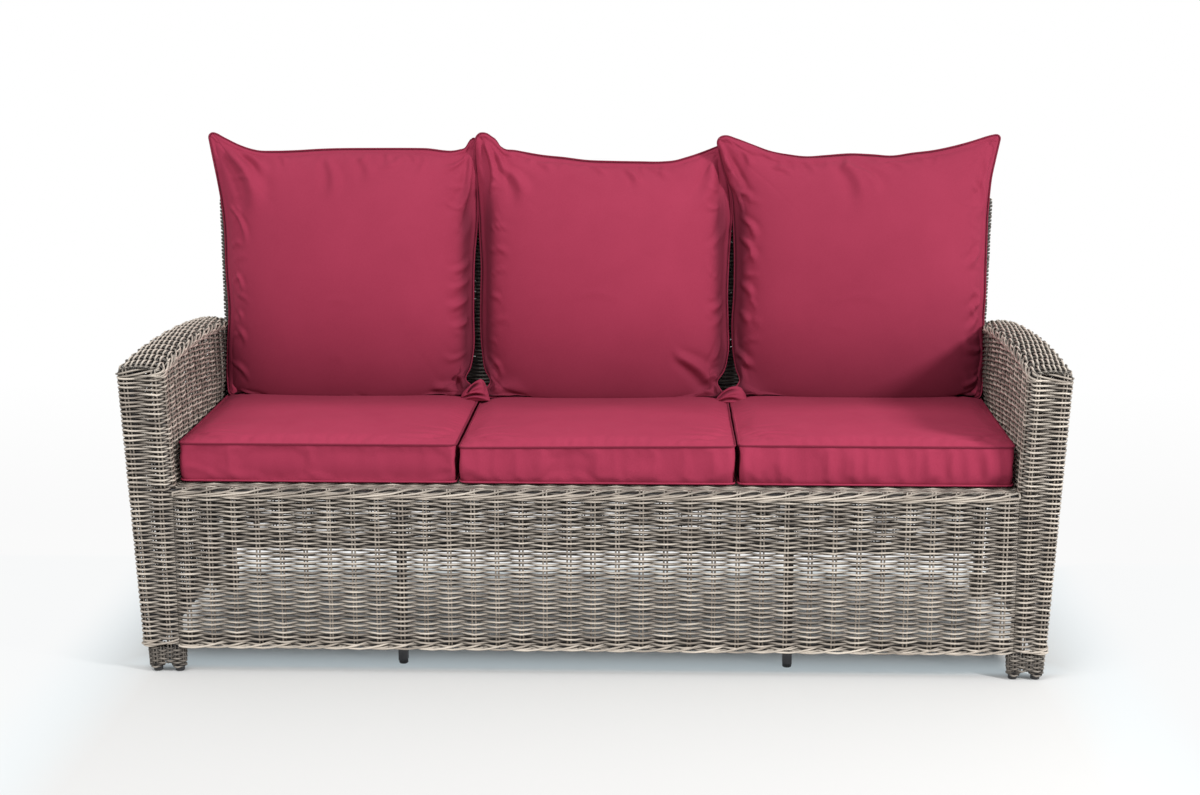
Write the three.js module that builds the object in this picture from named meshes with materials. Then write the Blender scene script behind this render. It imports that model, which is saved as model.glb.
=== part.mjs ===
import * as THREE from "three";

// Three-seat woven garden sofa, in millimetres: +X along the seat, +Y to the rear, +Z up.
// Depths are measured back from the front face; the finished group is centred over the ground.

// Seat and skirts
const seatHalfWidth = 896;
const deckTop = 412;
const skirtLow = 60;
const rearSkirtLow = 105;

// Arms: they flare outwards as they rise, and narrow to the rear
const armFootWidth = 71;
const armFrontRise = 252;
const armCrestRise = 275;
const armCrestDepth = 400;
const armCrown = 9;
const armOuterFlareRun = 33;
const armInnerFlareRun = 10;
const armInnerSplay = 18;
const armEndRadius = 34;
const cornerRadius = 14;
const topEdgeRadius = 12;

// Back, over the seat deck
const backFrontDepth = 623;
const backLean = THREE.MathUtils.degToRad(11);
const backRise = 563;
const backArmOverlap = 15;
const backFlareRun = 27;

// Frame tube, woven skin and the clearance where pieces touch
const tube = 20;
const tubeWall = 1.5;
const skin = 7;
const rowPitch = 10;
const rowRelief = 3;
const fit = 0.3;
const cavityCorner = 1;

// Feet and middle legs
const glideRadius = 10;
const glideHeight = 8;
const glideEdge = 1.5;
const glidePlugClearance = 1.3;
const glidePlugLength = 12;
const wrapWall = 5;
const wrapClearance = 1;
const wrapNotchRise = 9;
const middleLegHalfSpacing = 420;
const middleLegDepth = 80;

// Back frame
const lowerRailRise = 30;
const uprightHalfSpacing = 300;

// Seat cushions
const seatFrontSetback = 45;
const seatRearSetback = 3;
const seatEdgeHeight = 90;
const seatCrown = 14;
const seatCornerRadius = 26;
const seatCornerEase = 0.3;
const seatPipingInset = 4;
const seatUndersideInset = 10;
const seatSideDraw = 4;
const seatSlotGap = 2;
const seatArmGap = 3;

// Back pillows
const pillowHeight = 629;
const pillowTopDraw = 48;
const pillowSideDraw = 8;
const pillowBottomDraw = 10;
const pillowEarSpread = 40;
const pillowFrontBulge = 96;
const pillowRearBulge = 44;
const pillowArmGap = 10;

const halfTube = tube / 2;
const lift = skin + fit;
const backThickness = (2 * lift + tube) / Math.cos(backLean);
const baseDepth = backFrontDepth + backThickness;
const armBase = deckTop - skin;
const armCrestTop = deckTop + armCrestRise;
const armOuterFlare = armOuterFlareRun / (armCrestTop - topEdgeRadius - skirtLow);
const armInnerFlare = armInnerFlareRun / armCrestRise;
const endRadius = Math.min(armEndRadius, (armOuterX(armBase) - armInnerX(armBase, baseDepth)) / 2);
const backTop = deckTop + backRise;
const backFlare = backFlareRun / backRise;
const railHeight = armBase - fit - halfTube;
const frontPostDepth = lift + halfTube;
const rearPostDepth = baseDepth - endRadius - halfTube;
const backPostDepth = backFrontDepth + backThickness / 2;
const rearRailDepth = backPostDepth - tube - fit;
const depth = backFront(backTop - topEdgeRadius) + backThickness;
const sides = { left: -1, right: 1 };

function armOuterX(z) {
  return seatHalfWidth + armFootWidth + armOuterFlare * (z - skirtLow);
}

function armInnerX(z, d) {
  return seatHalfWidth + armInnerFlare * (z - deckTop) + (armInnerSplay * d) / baseDepth;
}

function armTop(d) {
  const away = (d - armCrestDepth) / armCrestDepth;
  return armCrestTop - (armCrestRise - armFrontRise) * away * away;
}

function backFront(z) {
  return backFrontDepth + Math.max(z - deckTop, 0) * Math.tan(backLean);
}

function backHalfWidth(z) {
  return seatHalfWidth + backArmOverlap + backFlare * Math.max(z - deckTop, 0);
}

function outerPostX(z) {
  return armOuterX(z) - lift - halfTube;
}

function innerPostX(z, d) {
  return armInnerX(z, d) + lift + halfTube;
}

const weave = new THREE.MeshStandardMaterial({ color: 0x8d867b, roughness: 0.55, metalness: 0 });
const frame = new THREE.MeshStandardMaterial({ color: 0x454548, roughness: 0.5, metalness: 0.4 });
const rubber = new THREE.MeshStandardMaterial({ color: 0x1c1c1e, roughness: 0.7, metalness: 0 });
const fabric = new THREE.MeshStandardMaterial({ color: 0xa83c54, roughness: 0.9, metalness: 0 });

const sofa = new THREE.Group();
sofa.position.y = -depth / 2;

function add(name, geometry, material) {
  const mesh = new THREE.Mesh(geometry, material);
  mesh.name = name;
  sofa.add(mesh);
  return mesh;
}

// Closed surface through rings of matching points. Open runs are capped at both ends by
// strips between point j and its partner on the far side of the ring; endless runs are not.
function loft(rings, endless = false) {
  const count = rings[0].length;
  const index = [];
  const quad = (a, b, c, d) => index.push(a, b, c, a, c, d);
  const spans = endless ? rings.length : rings.length - 1;
  for (let row = 0; row < spans; row += 1) {
    const here = row * count;
    const next = ((row + 1) % rings.length) * count;
    for (let j = 0; j < count; j += 1) {
      const k = (j + 1) % count;
      quad(here + j, here + k, next + k, next + j);
    }
  }
  const top = (rings.length - 1) * count;
  for (let j = 0; !endless && j < count / 2 - 1; j += 1) {
    const partner = count - 1 - j;
    quad(j, partner, partner - 1, j + 1);
    quad(top + j, top + j + 1, top + partner - 1, top + partner);
  }
  const points = rings.flat();
  const volume = () => {
    let sum = 0;
    for (let i = 0; i < index.length; i += 3) {
      const [a, b, c] = [points[index[i]], points[index[i + 1]], points[index[i + 2]]];
      sum += a.dot(b.clone().cross(c));
    }
    return sum;
  };
  const geometry = new THREE.BufferGeometry().setFromPoints(points);
  geometry.setIndex(volume() < 0 ? index.reverse() : index);
  geometry.computeVertexNormals();
  return geometry;
}

function squareOutline(half) {
  return [[-half, -half], [half, -half], [half, half], [-half, half]];
}

// Straight hollow square tube between the centres of its two ends
function straightTube(name, from, to, facing = null) {
  const section = new THREE.Shape(squareOutline(halfTube).map(([x, y]) => new THREE.Vector2(x, y)));
  const bore = squareOutline(halfTube - tubeWall).map(([x, y]) => new THREE.Vector2(x, y));
  section.holes.push(new THREE.Path(bore));
  const run = new THREE.Vector3().subVectors(to, from);
  const geometry = new THREE.ExtrudeGeometry(section, { depth: run.length(), bevelEnabled: false });
  const along = run.clone().normalize();
  const alongDepth = Math.abs(along.y) > Math.abs(along.x) + Math.abs(along.z);
  const guide = facing ?? (alongDepth ? new THREE.Vector3(1, 0, 0) : new THREE.Vector3(0, 1, 0));
  const across = new THREE.Vector3().crossVectors(guide, along).normalize();
  const face = new THREE.Vector3().crossVectors(along, across);
  const mesh = add(name, geometry, frame);
  mesh.position.copy(from);
  mesh.setRotationFromMatrix(new THREE.Matrix4().makeBasis(across, face, along));
  return mesh;
}

// Hollow square tube through several points, mitred at each bend
function bentTube(name, path) {
  const ring = (half) => path.map((point, i) => {
    const before = new THREE.Vector3().subVectors(point, path[Math.max(i - 1, 0)]).normalize();
    const following = path[Math.min(i + 1, path.length - 1)];
    const after = new THREE.Vector3().subVectors(following, point).normalize();
    const along = before.add(after).normalize();
    const across = new THREE.Vector3(1, 0, 0).addScaledVector(along, -along.x).normalize();
    const face = new THREE.Vector3().crossVectors(along, across);
    return squareOutline(half).map(([x, y]) => {
      return point.clone().addScaledVector(across, x).addScaledVector(face, y);
    });
  });
  const bore = ring(halfTube - tubeWall).reverse();
  return add(name, loft([...ring(halfTube), ...bore], true), frame);
}

function at(x, d, z) {
  return new THREE.Vector3(x, d, z);
}

const arcSteps = 4;
const armStations = 9;

// Half of an arm's plan outline, from its front face round to its rear end
function armHalf(side, outer, height, inset, frontRadius, rearRadius) {
  const points = [];
  const place = (across, d) => {
    const z = height(d);
    const x = outer ? armOuterX(z) - across : armInnerX(z, d) + across;
    points.push(at(side * x, d, z));
  };
  for (let i = 0; i <= arcSteps; i += 1) {
    const angle = (i / arcSteps) * (Math.PI / 2);
    place(inset + frontRadius * (1 - Math.sin(angle)), inset + frontRadius * (1 - Math.cos(angle)));
  }
  const from = inset + frontRadius;
  const to = baseDepth - inset - rearRadius;
  for (let i = 1; i < armStations; i += 1) {
    place(inset, from + ((to - from) * i) / armStations);
  }
  for (let i = 0; i <= arcSteps; i += 1) {
    const angle = (i / arcSteps) * (Math.PI / 2);
    place(inset + rearRadius * (1 - Math.cos(angle)), to + rearRadius * Math.sin(angle));
  }
  return points;
}

function armRing(side, height, inset, frontRadius, rearRadius) {
  const outer = armHalf(side, true, height, inset, frontRadius, rearRadius);
  const inner = armHalf(side, false, height, inset, frontRadius, rearRadius);
  return [...outer, ...inner.reverse()];
}

// Moves each point of a ring a share of the way to its partner, and up by the rise
function gather(ring, share, rise) {
  return ring.map((point, j) => {
    const gathered = point.clone().lerp(ring[ring.length - 1 - j], share);
    gathered.z += rise;
    return gathered;
  });
}

const roundingShares = [1 / 3, 2 / 3, 1];
const crownShares = [0.18, 0.4];

function armWeave(side) {
  const innerRadius = endRadius - skin;
  const cavity = (height) => armRing(side, height, skin, cavityCorner, innerRadius);
  const rounded = roundingShares.map((share) => {
    const angle = (share * Math.PI) / 2;
    const inset = topEdgeRadius * (1 - Math.cos(angle));
    const height = (d) => armTop(d) - topEdgeRadius * (1 - Math.sin(angle));
    return armRing(side, height, inset, cornerRadius - inset, endRadius - inset);
  });
  const rim = rounded[rounded.length - 1];
  return loft([
    cavity((d) => armTop(d) - skin),
    cavity(() => armBase),
    armRing(side, () => armBase, 0, cornerRadius, endRadius),
    armRing(side, (d) => armTop(d) - topEdgeRadius, 0, cornerRadius, endRadius),
    ...rounded,
    ...crownShares.map((share) => gather(rim, share, armCrown * 4 * share * (1 - share))),
  ]);
}

// Skirt under an arm: a woven skin round the corner posts, open towards the seat
function sideSkirt(side) {
  const ring = (z) => {
    const height = () => z;
    const outer = armHalf(side, true, height, 0, cornerRadius, endRadius);
    const inner = armHalf(side, true, height, skin, cavityCorner, endRadius - skin);
    const start = armInnerX(armBase, 0) + fit;
    outer.unshift(at(side * start, 0, z));
    inner.unshift(at(side * start, skin, z));
    return [...outer, ...inner.reverse()];
  };
  return loft([ring(skirtLow), ring(armBase - fit)]);
}

// Share of a row's height and share of its relief, from one groove between rows to the next
const rowProfile = [[0, 1], [0.2, 0.2], [0.5, 0], [0.8, 0.2]];

// Skin of raised strand rows between two heights, its outer face at one depth
function rowPanel(low, high, halfAt, face, inward) {
  const rows = Math.round((high - low) / rowPitch);
  const stations = [[high, 1]];
  for (let row = rows - 1; row >= 0; row -= 1) {
    for (const [share, drop] of [...rowProfile].reverse()) {
      stations.push([low + ((high - low) * (row + share)) / rows, drop]);
    }
  }
  const ring = (side) => {
    const outer = stations.map(([z, drop]) => at(side * halfAt(z), face + inward * rowRelief * drop, z));
    const inner = stations.map(([z]) => at(side * halfAt(z), face + inward * skin, z));
    return [...outer, ...inner.reverse()];
  };
  return loft([ring(-1), ring(1)]);
}

function frontSkirt() {
  return rowPanel(skirtLow, deckTop, () => armInnerX(armBase, 0), 0, 1);
}

function rearSkirt() {
  const halfAt = (z) => armOuterX(z) - endRadius - fit;
  return rowPanel(rearSkirtLow, armBase - fit, halfAt, baseDepth, -1);
}

function seatDeck() {
  const rear = backFrontDepth - 2 * fit;
  const front = lift;
  const halfAt = (d) => armInnerX(armBase, d) - fit;
  const outline = [
    [-halfAt(front), front],
    [halfAt(front), front],
    [halfAt(rear), rear],
    [-halfAt(rear), rear],
  ];
  const shape = new THREE.Shape(outline.map(([x, y]) => new THREE.Vector2(x, y)));
  const geometry = new THREE.ExtrudeGeometry(shape, { depth: skin, bevelEnabled: false });
  return geometry.translate(0, 0, armBase);
}

const backStations = 10;

function backRing(z, inset, radius) {
  const half = (front) => {
    const points = [];
    const place = (x, across) => {
      const d = backFront(z) + (front ? across : backThickness - across);
      points.push(at(x, d, z));
    };
    const reach = backHalfWidth(z) - inset;
    for (let i = 0; i <= arcSteps; i += 1) {
      const angle = (i / arcSteps) * (Math.PI / 2);
      place(-reach + radius * (1 - Math.cos(angle)), inset + radius * (1 - Math.sin(angle)));
    }
    for (let i = 1; i < backStations; i += 1) {
      place((reach - radius) * ((2 * i) / backStations - 1), inset);
    }
    for (let i = arcSteps; i >= 0; i -= 1) {
      const angle = (i / arcSteps) * (Math.PI / 2);
      place(reach - radius * (1 - Math.cos(angle)), inset + radius * (1 - Math.sin(angle)));
    }
    return points;
  };
  return [...half(true), ...half(false).reverse()];
}

function backWeave() {
  const rounded = roundingShares.map((share) => {
    const angle = (share * Math.PI) / 2;
    const inset = topEdgeRadius * (1 - Math.cos(angle));
    return backRing(backTop - topEdgeRadius * (1 - Math.sin(angle)), inset, cornerRadius - inset);
  });
  return loft([
    backRing(backTop - skin, skin, cavityCorner),
    backRing(deckTop, skin, cavityCorner),
    backRing(armBase, skin, cavityCorner),
    backRing(armBase, 0, cornerRadius),
    backRing(deckTop, 0, cornerRadius),
    backRing(backTop - topEdgeRadius, 0, cornerRadius),
    ...rounded,
  ]);
}

// Corner posts, arm rails and their feet

const postLow = glideHeight + fit + halfTube * armOuterFlare;

function armRailHeight(d) {
  return armTop(d) - lift - halfTube;
}

const glideFacets = 12;
const glidePlugRadius = halfTube - tubeWall - glidePlugClearance;

function glide(name, x, d) {
  const profile = [
    [0, 0],
    [glideRadius - glideEdge, 0],
    [glideRadius, glideEdge],
    [glideRadius, glideHeight],
    [glidePlugRadius, glideHeight],
    [glidePlugRadius, glideHeight + glidePlugLength],
    [0, glideHeight + glidePlugLength],
  ];
  const points = profile.map(([r, z]) => new THREE.Vector2(r, z));
  const geometry = new THREE.LatheGeometry(points, glideFacets).rotateX(Math.PI / 2);
  add(name, geometry, rubber).position.set(x, d, 0);
}

const wrapStations = 10;
const wrapLow = glideHeight + wrapClearance;

// Woven sleeve round the two tube ends of a corner, arched between them
function footWrap(side, d) {
  const clear = halfTube + fit;
  const wrapTop = skirtLow - fit;
  const low = innerPostX(wrapLow, d) - clear;
  const high = outerPostX(skirtLow) + clear;
  const middle = (innerPostX(wrapLow, d) + outerPostX(wrapLow)) / 2;
  const notchHalf = (outerPostX(wrapLow) - innerPostX(wrapLow, d)) / 2 - halfTube;
  const bottom = (x) => {
    const away = Math.min(Math.abs(x - middle) / notchHalf, 1);
    return wrapLow + wrapNotchRise * Math.sqrt(1 - away * away);
  };
  const ring = (wall, height) => {
    const points = [];
    const edge = (y, forward) => {
      for (let i = 0; i <= wrapStations; i += 1) {
        const share = forward ? i / wrapStations : 1 - i / wrapStations;
        const x = low - wall + (high - low + 2 * wall) * share;
        points.push(at(side * x, y, height(x)));
      }
    };
    edge(d - clear - wall, true);
    edge(d + clear + wall, false);
    return points;
  };
  const top = () => wrapTop;
  return loft([ring(wrapWall, bottom), ring(wrapWall, top), ring(0, top), ring(0, bottom)], true);
}

function armFrame(place, side) {
  const ends = { front: frontPostDepth, rear: rearPostDepth };
  const rows = { outer: outerPostX, inner: innerPostX };
  for (const [end, d] of Object.entries(ends)) {
    const top = armRailHeight(d - Math.sign(armCrestDepth - d) * halfTube) - halfTube - 2 * fit;
    for (const [row, postX] of Object.entries(rows)) {
      const post = (z) => at(side * postX(z, d), d, z);
      straightTube(`${end}_${row}_post_${place}`, post(postLow), post(top));
      glide(`${end}_${row}_glide_${place}`, side * postX(glideHeight, d), d);
    }
    add(`${end}_foot_wrap_${place}`, footWrap(side, d), weave);
  }
  const frontSlope = (2 * (armCrestRise - armFrontRise)) / armCrestDepth;
  const railEnds = [frontPostDepth - halfTube * (1 - frontSlope), rearPostDepth + halfTube];
  const stations = Array.from({ length: armStations }, (_, i) => {
    return railEnds[0] + ((railEnds[1] - railEnds[0]) * i) / (armStations - 1);
  });
  const outerX = outerPostX(armRailHeight(stations[0]) - halfTube);
  const outerRail = stations.map((d) => at(side * outerX, d, armRailHeight(d)));
  const innerRail = stations.map((d) => {
    return at(side * innerPostX(armRailHeight(d) + halfTube, d), d, armRailHeight(d));
  });
  bentTube(`arm_top_rail_outer_${place}`, outerRail);
  bentTube(`arm_top_rail_inner_${place}`, innerRail);
}

// Seat frame

function crossRail(name, half, d, z) {
  straightTube(name, at(-half, d, z), at(half, d, z));
}

function seatFrame() {
  const postFace = (z) => innerPostX(z, frontPostDepth) - halfTube - 2 * fit;
  const lowHeight = skirtLow + halfTube;
  crossRail("front_rail_top", postFace(railHeight - halfTube), frontPostDepth, railHeight);
  crossRail("front_rail_bottom", postFace(skirtLow), frontPostDepth, lowHeight);
  const railFront = frontPostDepth + halfTube + fit;
  const railRear = rearRailDepth - halfTube - fit;
  const sideX = (d) => innerPostX(railHeight - halfTube, d) - tube - 2 * fit;
  const crossBar = (place, x) => {
    straightTube(`seat_cross_bar_${place}`, at(x, railFront, railHeight), at(x, railRear, railHeight));
  };
  for (const [place, side] of Object.entries(sides)) {
    const rail = (d) => at(side * sideX(d), d, railHeight);
    straightTube(`seat_side_rail_${place}`, rail(railFront), rail(railRear));
    const lowRail = (d) => at(side * outerPostX(skirtLow), d, lowHeight);
    straightTube(`side_rail_bottom_${place}`, lowRail(railFront), lowRail(rearPostDepth - halfTube - fit));
    const x = side * middleLegHalfSpacing;
    const leg = (z) => at(x, middleLegDepth, z);
    crossBar(place, x);
    straightTube(`middle_leg_${place}`, leg(glideHeight + fit), leg(railHeight - halfTube - fit));
    glide(`middle_glide_${place}`, x, middleLegDepth);
  }
  crossBar("middle", 0);
  crossRail("rear_rail_top", sideX(railRear) + halfTube, rearRailDepth, railHeight);
}

// Back frame

function backFrame() {
  const centre = (x, z) => at(x, backFront(z) + backThickness / 2, z);
  const normal = new THREE.Vector3(0, Math.cos(backLean), -Math.sin(backLean));
  const corner = halfTube * (Math.cos(backLean) + Math.sin(backLean));
  const topHeight = backTop - lift - corner;
  const lowHeight = deckTop + lowerRailRise;
  const postX = (z) => backHalfWidth(z) - lift - halfTube;
  const endGap = halfTube + fit + halfTube * backFlare;
  const postTop = topHeight - endGap * Math.cos(backLean);
  for (const [place, side] of Object.entries(sides)) {
    const path = [rearSkirtLow, deckTop, postTop].map((z) => centre(side * postX(z), z));
    bentTube(`back_post_${place}`, path);
    const x = side * uprightHalfSpacing;
    const foot = lowHeight + (halfTube + fit) * Math.cos(backLean);
    const head = topHeight - (halfTube + fit) * Math.cos(backLean);
    straightTube(`back_upright_${place}`, centre(x, foot), centre(x, head), normal);
  }
  const topHalf = backHalfWidth(topHeight - corner) - lift;
  straightTube("back_top_rail", centre(-topHalf, topHeight), centre(topHalf, topHeight), normal);
  const lowHalf = postX(lowHeight - corner) - halfTube - 2 * fit;
  straightTube("back_lower_rail", centre(-lowHalf, lowHeight), centre(lowHalf, lowHeight), normal);
  crossRail("rear_rail_bottom", postX(deckTop) - halfTube - fit, backPostDepth, rearSkirtLow + halfTube);
}

// Seat cushions: box cushions with crowned tops, piped edges and sides drawn in between corners

const seatLow = deckTop + fit;
const seatEdge = seatLow + seatEdgeHeight;
const seatSlot = (2 * seatHalfWidth - 2 * seatArmGap) / 3;
const seatFront = seatFrontSetback;
const seatRear = backFrontDepth - seatRearSetback;
const seatStations = 8;
const seatCornerSteps = 3;
const seatCrownInset = (seatRear - seatFront) / 3;
const seatCrownShares = [0.12, 0.3, 0.6, 1];

function seatRise(inset) {
  const away = 1 - Math.min(Math.max(inset, 0) / seatCrownInset, 1);
  return seatCrown * (1 - away * away);
}

function seatSpan(slot, d) {
  const low = (slot - 0.5) * seatSlot + seatSlotGap / 2;
  const high = (slot + 0.5) * seatSlot - seatSlotGap / 2;
  const splay = (armInnerSplay * d) / baseDepth;
  return [low - (slot < 0 ? splay : 0), high + (slot > 0 ? splay : 0)];
}

function seatRing(slot, z, inset) {
  const radius = seatCornerRadius + inset * seatCornerEase;
  const half = (front) => {
    const points = [];
    const place = (side, x, across) => {
      const bend = front ? across : seatRear - seatFront - across;
      const d = seatFront + bend;
      const [low, high] = seatSpan(slot, d);
      const draw = (seatSideDraw * 4 * bend * (seatRear - seatFront - bend)) / (seatRear - seatFront) ** 2;
      points.push(at(side < 0 ? low + draw + x : high - draw - x, d, z));
    };
    const corner = (side, i) => {
      const angle = (i / seatCornerSteps) * (Math.PI / 2);
      const x = inset + radius * (1 - Math.cos(angle));
      place(side, x, inset + radius * (1 - Math.sin(angle)));
    };
    for (let i = 0; i <= seatCornerSteps; i += 1) {
      corner(-1, i);
    }
    const d = front ? seatFront + inset : seatRear - inset;
    const from = points[points.length - 1].x;
    const to = seatSpan(slot, d)[1] - inset - radius;
    for (let i = 1; i < seatStations; i += 1) {
      points.push(at(from + ((to - from) * i) / seatStations, d, z));
    }
    for (let i = seatCornerSteps; i >= 0; i -= 1) {
      corner(1, i);
    }
    return points;
  };
  return [...half(true), ...half(false).reverse()];
}

function seatCushion(slot) {
  const crowned = seatCrownShares.map((share) => {
    const inset = seatPipingInset + seatCrownInset * share;
    return seatRing(slot, seatEdge + seatRise(seatCrownInset * share), inset);
  });
  return loft([
    seatRing(slot, seatLow, seatPipingInset + seatUndersideInset),
    seatRing(slot, seatLow + seatPipingInset, seatPipingInset),
    seatRing(slot, (seatLow + seatEdge) / 2, 0),
    seatRing(slot, seatEdge, seatPipingInset),
    ...crowned,
  ]);
}

// Back pillows: knife-edged, with drawn-in sides, pointed upper corners and a full front

const pillowFrontShares = [0.15, 0.4, 0.62, 0.78, 0.89, 0.96];
const pillowRearShares = [0.97, 0.88, 0.7, 0.4];
const pillowEdgeStations = 6;
const pillowBellyShare = 0.46;
const pillowEarSharpness = 6;
const pillowRoundness = 0.6;
const pillowRingBlend = 4;
const pillowBulgeSharpness = 3;
const pillowBulgeRoundness = 0.6;
const pillowFlatness = 1.5;

function pillow(slot) {
  const up = new THREE.Vector3(0, Math.sin(backLean), Math.cos(backLean));
  const forward = new THREE.Vector3(0, -Math.cos(backLean), Math.sin(backLean));
  const [slotLow, slotHigh] = seatSpan(slot, seatRear);
  const low = slotLow + (slot < 0 ? pillowArmGap - seatArmGap : 0);
  const high = slotHigh - (slot > 0 ? pillowArmGap - seatArmGap : 0);
  const earLeft = slot < 0 ? pillowEarSpread : 0;
  const earRight = slot > 0 ? pillowEarSpread : 0;
  const edgeX = (side, share) => {
    const draw = pillowSideDraw * 4 * share * (1 - share);
    const ear = (side < 0 ? earLeft : earRight) * share ** pillowEarSharpness;
    return side < 0 ? low + draw - ear : high - draw + ear;
  };
  const outline = (upper) => {
    const points = [];
    const along = (share) => (upper ? 0.5 + share / 2 : 0.5 - share / 2);
    for (let i = 0; i <= pillowEdgeStations; i += 1) {
      const share = along(i / pillowEdgeStations);
      points.push(new THREE.Vector2(edgeX(-1, share), pillowHeight * share));
    }
    const span = 2 * pillowEdgeStations;
    const corner = upper ? 1 : 0;
    for (let i = 1; i < span; i += 1) {
      const place = (2 * i) / span - 1;
      const dip = 1 - place * place;
      const draw = upper ? -pillowTopDraw * Math.sqrt(dip) : pillowBottomDraw * dip;
      const x = THREE.MathUtils.lerp(edgeX(-1, corner), edgeX(1, corner), i / span);
      points.push(new THREE.Vector2(x, pillowHeight * corner + draw));
    }
    for (let i = pillowEdgeStations; i >= 0; i -= 1) {
      const share = along(i / pillowEdgeStations);
      points.push(new THREE.Vector2(edgeX(1, share), pillowHeight * share));
    }
    return points;
  };
  const seam = [...outline(true), ...outline(false).reverse()];
  const belly = new THREE.Vector2((low + high) / 2, pillowHeight * pillowBellyShare);
  const base = at(0, backFrontDepth, deckTop).addScaledVector(forward, fit + pillowRearBulge);
  const rounding = (point) => {
    const across = Math.abs(point.x - belly.x) / ((high - low) / 2);
    const above = Math.abs(point.y - belly.y) / (pillowHeight / 2);
    return Math.max(across, above) / Math.hypot(across, above);
  };
  const ring = (share, thickness) => seam.map((point) => {
    const pull = rounding(point) ** (pillowRoundness * (1 - share ** pillowRingBlend));
    const flat = belly.clone().lerp(point, share * pull);
    return at(flat.x, 0, 0).add(base).addScaledVector(up, flat.y).addScaledVector(forward, thickness);
  });
  const bulge = (share) => (1 - share ** pillowBulgeSharpness) ** pillowBulgeRoundness;
  const flatten = (share) => Math.min(1, pillowFlatness * (1 - share ** pillowBulgeSharpness));
  const rings = [
    ...pillowFrontShares.map((share) => ring(share, pillowFrontBulge * bulge(share))),
    ring(1, 0),
    ...pillowRearShares.map((share) => ring(share, -pillowRearBulge * flatten(share))),
  ];
  const points = rings.flat();
  const resting = points.map((point) => point.z - seatEdge - seatRise(seatRear - point.y - seatPipingInset));
  const drop = Math.min(...resting) - fit;
  points.forEach((point) => point.addScaledVector(up, -drop / Math.cos(backLean)));
  return loft(rings);
}

for (const [place, side] of Object.entries(sides)) {
  armFrame(place, side);
  add(`arm_weave_${place}`, armWeave(side), weave);
  add(`side_skirt_weave_${place}`, sideSkirt(side), weave);
}
seatFrame();
backFrame();
add("front_skirt_weave", frontSkirt(), weave);
add("rear_skirt_weave", rearSkirt(), weave);
add("seat_deck_weave", seatDeck(), weave);
add("back_weave", backWeave(), weave);
for (const [place, slot] of Object.entries({ left: -1, middle: 0, right: 1 })) {
  add(`seat_cushion_${place}`, seatCushion(slot), fabric);
  add(`back_pillow_${place}`, pillow(slot), fabric);
}

export default sofa;
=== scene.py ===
import math

import bpy
import numpy as np
from mathutils import Matrix, Vector


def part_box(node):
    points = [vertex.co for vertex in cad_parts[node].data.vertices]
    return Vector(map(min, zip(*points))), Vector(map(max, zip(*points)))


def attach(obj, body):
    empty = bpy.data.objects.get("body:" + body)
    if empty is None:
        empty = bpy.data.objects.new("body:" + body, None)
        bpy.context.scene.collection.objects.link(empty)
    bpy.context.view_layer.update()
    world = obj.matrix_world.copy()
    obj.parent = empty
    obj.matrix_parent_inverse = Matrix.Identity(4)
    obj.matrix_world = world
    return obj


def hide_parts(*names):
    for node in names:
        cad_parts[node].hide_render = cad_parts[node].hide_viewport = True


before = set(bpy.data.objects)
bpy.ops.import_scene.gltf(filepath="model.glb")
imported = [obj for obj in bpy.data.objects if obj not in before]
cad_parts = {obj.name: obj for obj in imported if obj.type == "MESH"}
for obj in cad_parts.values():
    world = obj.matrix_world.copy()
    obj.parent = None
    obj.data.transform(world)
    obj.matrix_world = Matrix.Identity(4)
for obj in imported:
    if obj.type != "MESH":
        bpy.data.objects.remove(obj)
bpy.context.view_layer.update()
scene = bpy.context.scene
print("frame loaded")

# Lines of the frame in metres. Depths count back from the front face.
form = {
    "frontFace": -0.382676,
    "deckTop": 0.412,
    "armBase": 0.405,
    "skirtLow": 0.060,
    "baseDepth": 0.658248,
    "footHalf": 0.967,
    "outerFlare": 0.053659,
    "seatHalf": 0.896,
    "innerFlare": 0.036364,
    "innerSplay": 0.018,
    "armCrest": 0.687,
    "armFrontDrop": 0.023,
    "crestDepth": 0.400,
    "armCrown": 0.009,
    "cornerRadius": 0.009,
    "innerCornerRadius": 0.019,
    "endRadius": 0.034,
    "innerEndRadius": 0.008,
    "topRadius": 0.012,
    "leftSwell": 0.008,
    "swellDepth": 0.45,
    "rearLean": 0.012,
    "leanFrom": 0.48,
    "leanRise": 0.08,
    "crestFall": 0.008,
    "crestFallPower": 1.5,
    "backDepth": 0.623,
    "backLean": math.radians(11),
    "backTop": 0.975,
    "backHalf": 0.9135,
    "backFlare": 0.047957,
    "backThickness": 0.035248,
}

def smooth(value):
    value = np.clip(value, 0, 1)
    return value * value * (3 - 2 * value)

# The left arm's outer side stands a little further out towards the front
def outerX(z, side=1, d=0):
    swell = form["leftSwell"] * smooth(1 - d / form["swellDepth"]) if side < 0 else 0
    return form["footHalf"] + form["outerFlare"] * (z - form["skirtLow"]) + swell

# The inner side leans in towards the rear, above the seat
def innerX(z, d):
    flare = form["innerFlare"] * (z - form["deckTop"])
    above = smooth((z - form["leanFrom"]) / form["leanRise"])
    lean = form["rearLean"] * above * (d / form["baseDepth"]) ** 2
    return form["seatHalf"] + flare + form["innerSplay"] * d / form["baseDepth"] - lean

def armTop(d):
    away = (d - form["crestDepth"]) / form["crestDepth"]
    fall = form["crestFall"] * (np.maximum(d, 0) / form["baseDepth"]) ** form["crestFallPower"]
    return form["armCrest"] - form["armFrontDrop"] * away * away - fall

def backFront(z):
    return form["backDepth"] + np.maximum(z - form["deckTop"], 0) * math.tan(form["backLean"])

def backHalf(z):
    return form["backHalf"] + form["backFlare"] * np.maximum(z - form["deckTop"], 0)

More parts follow.
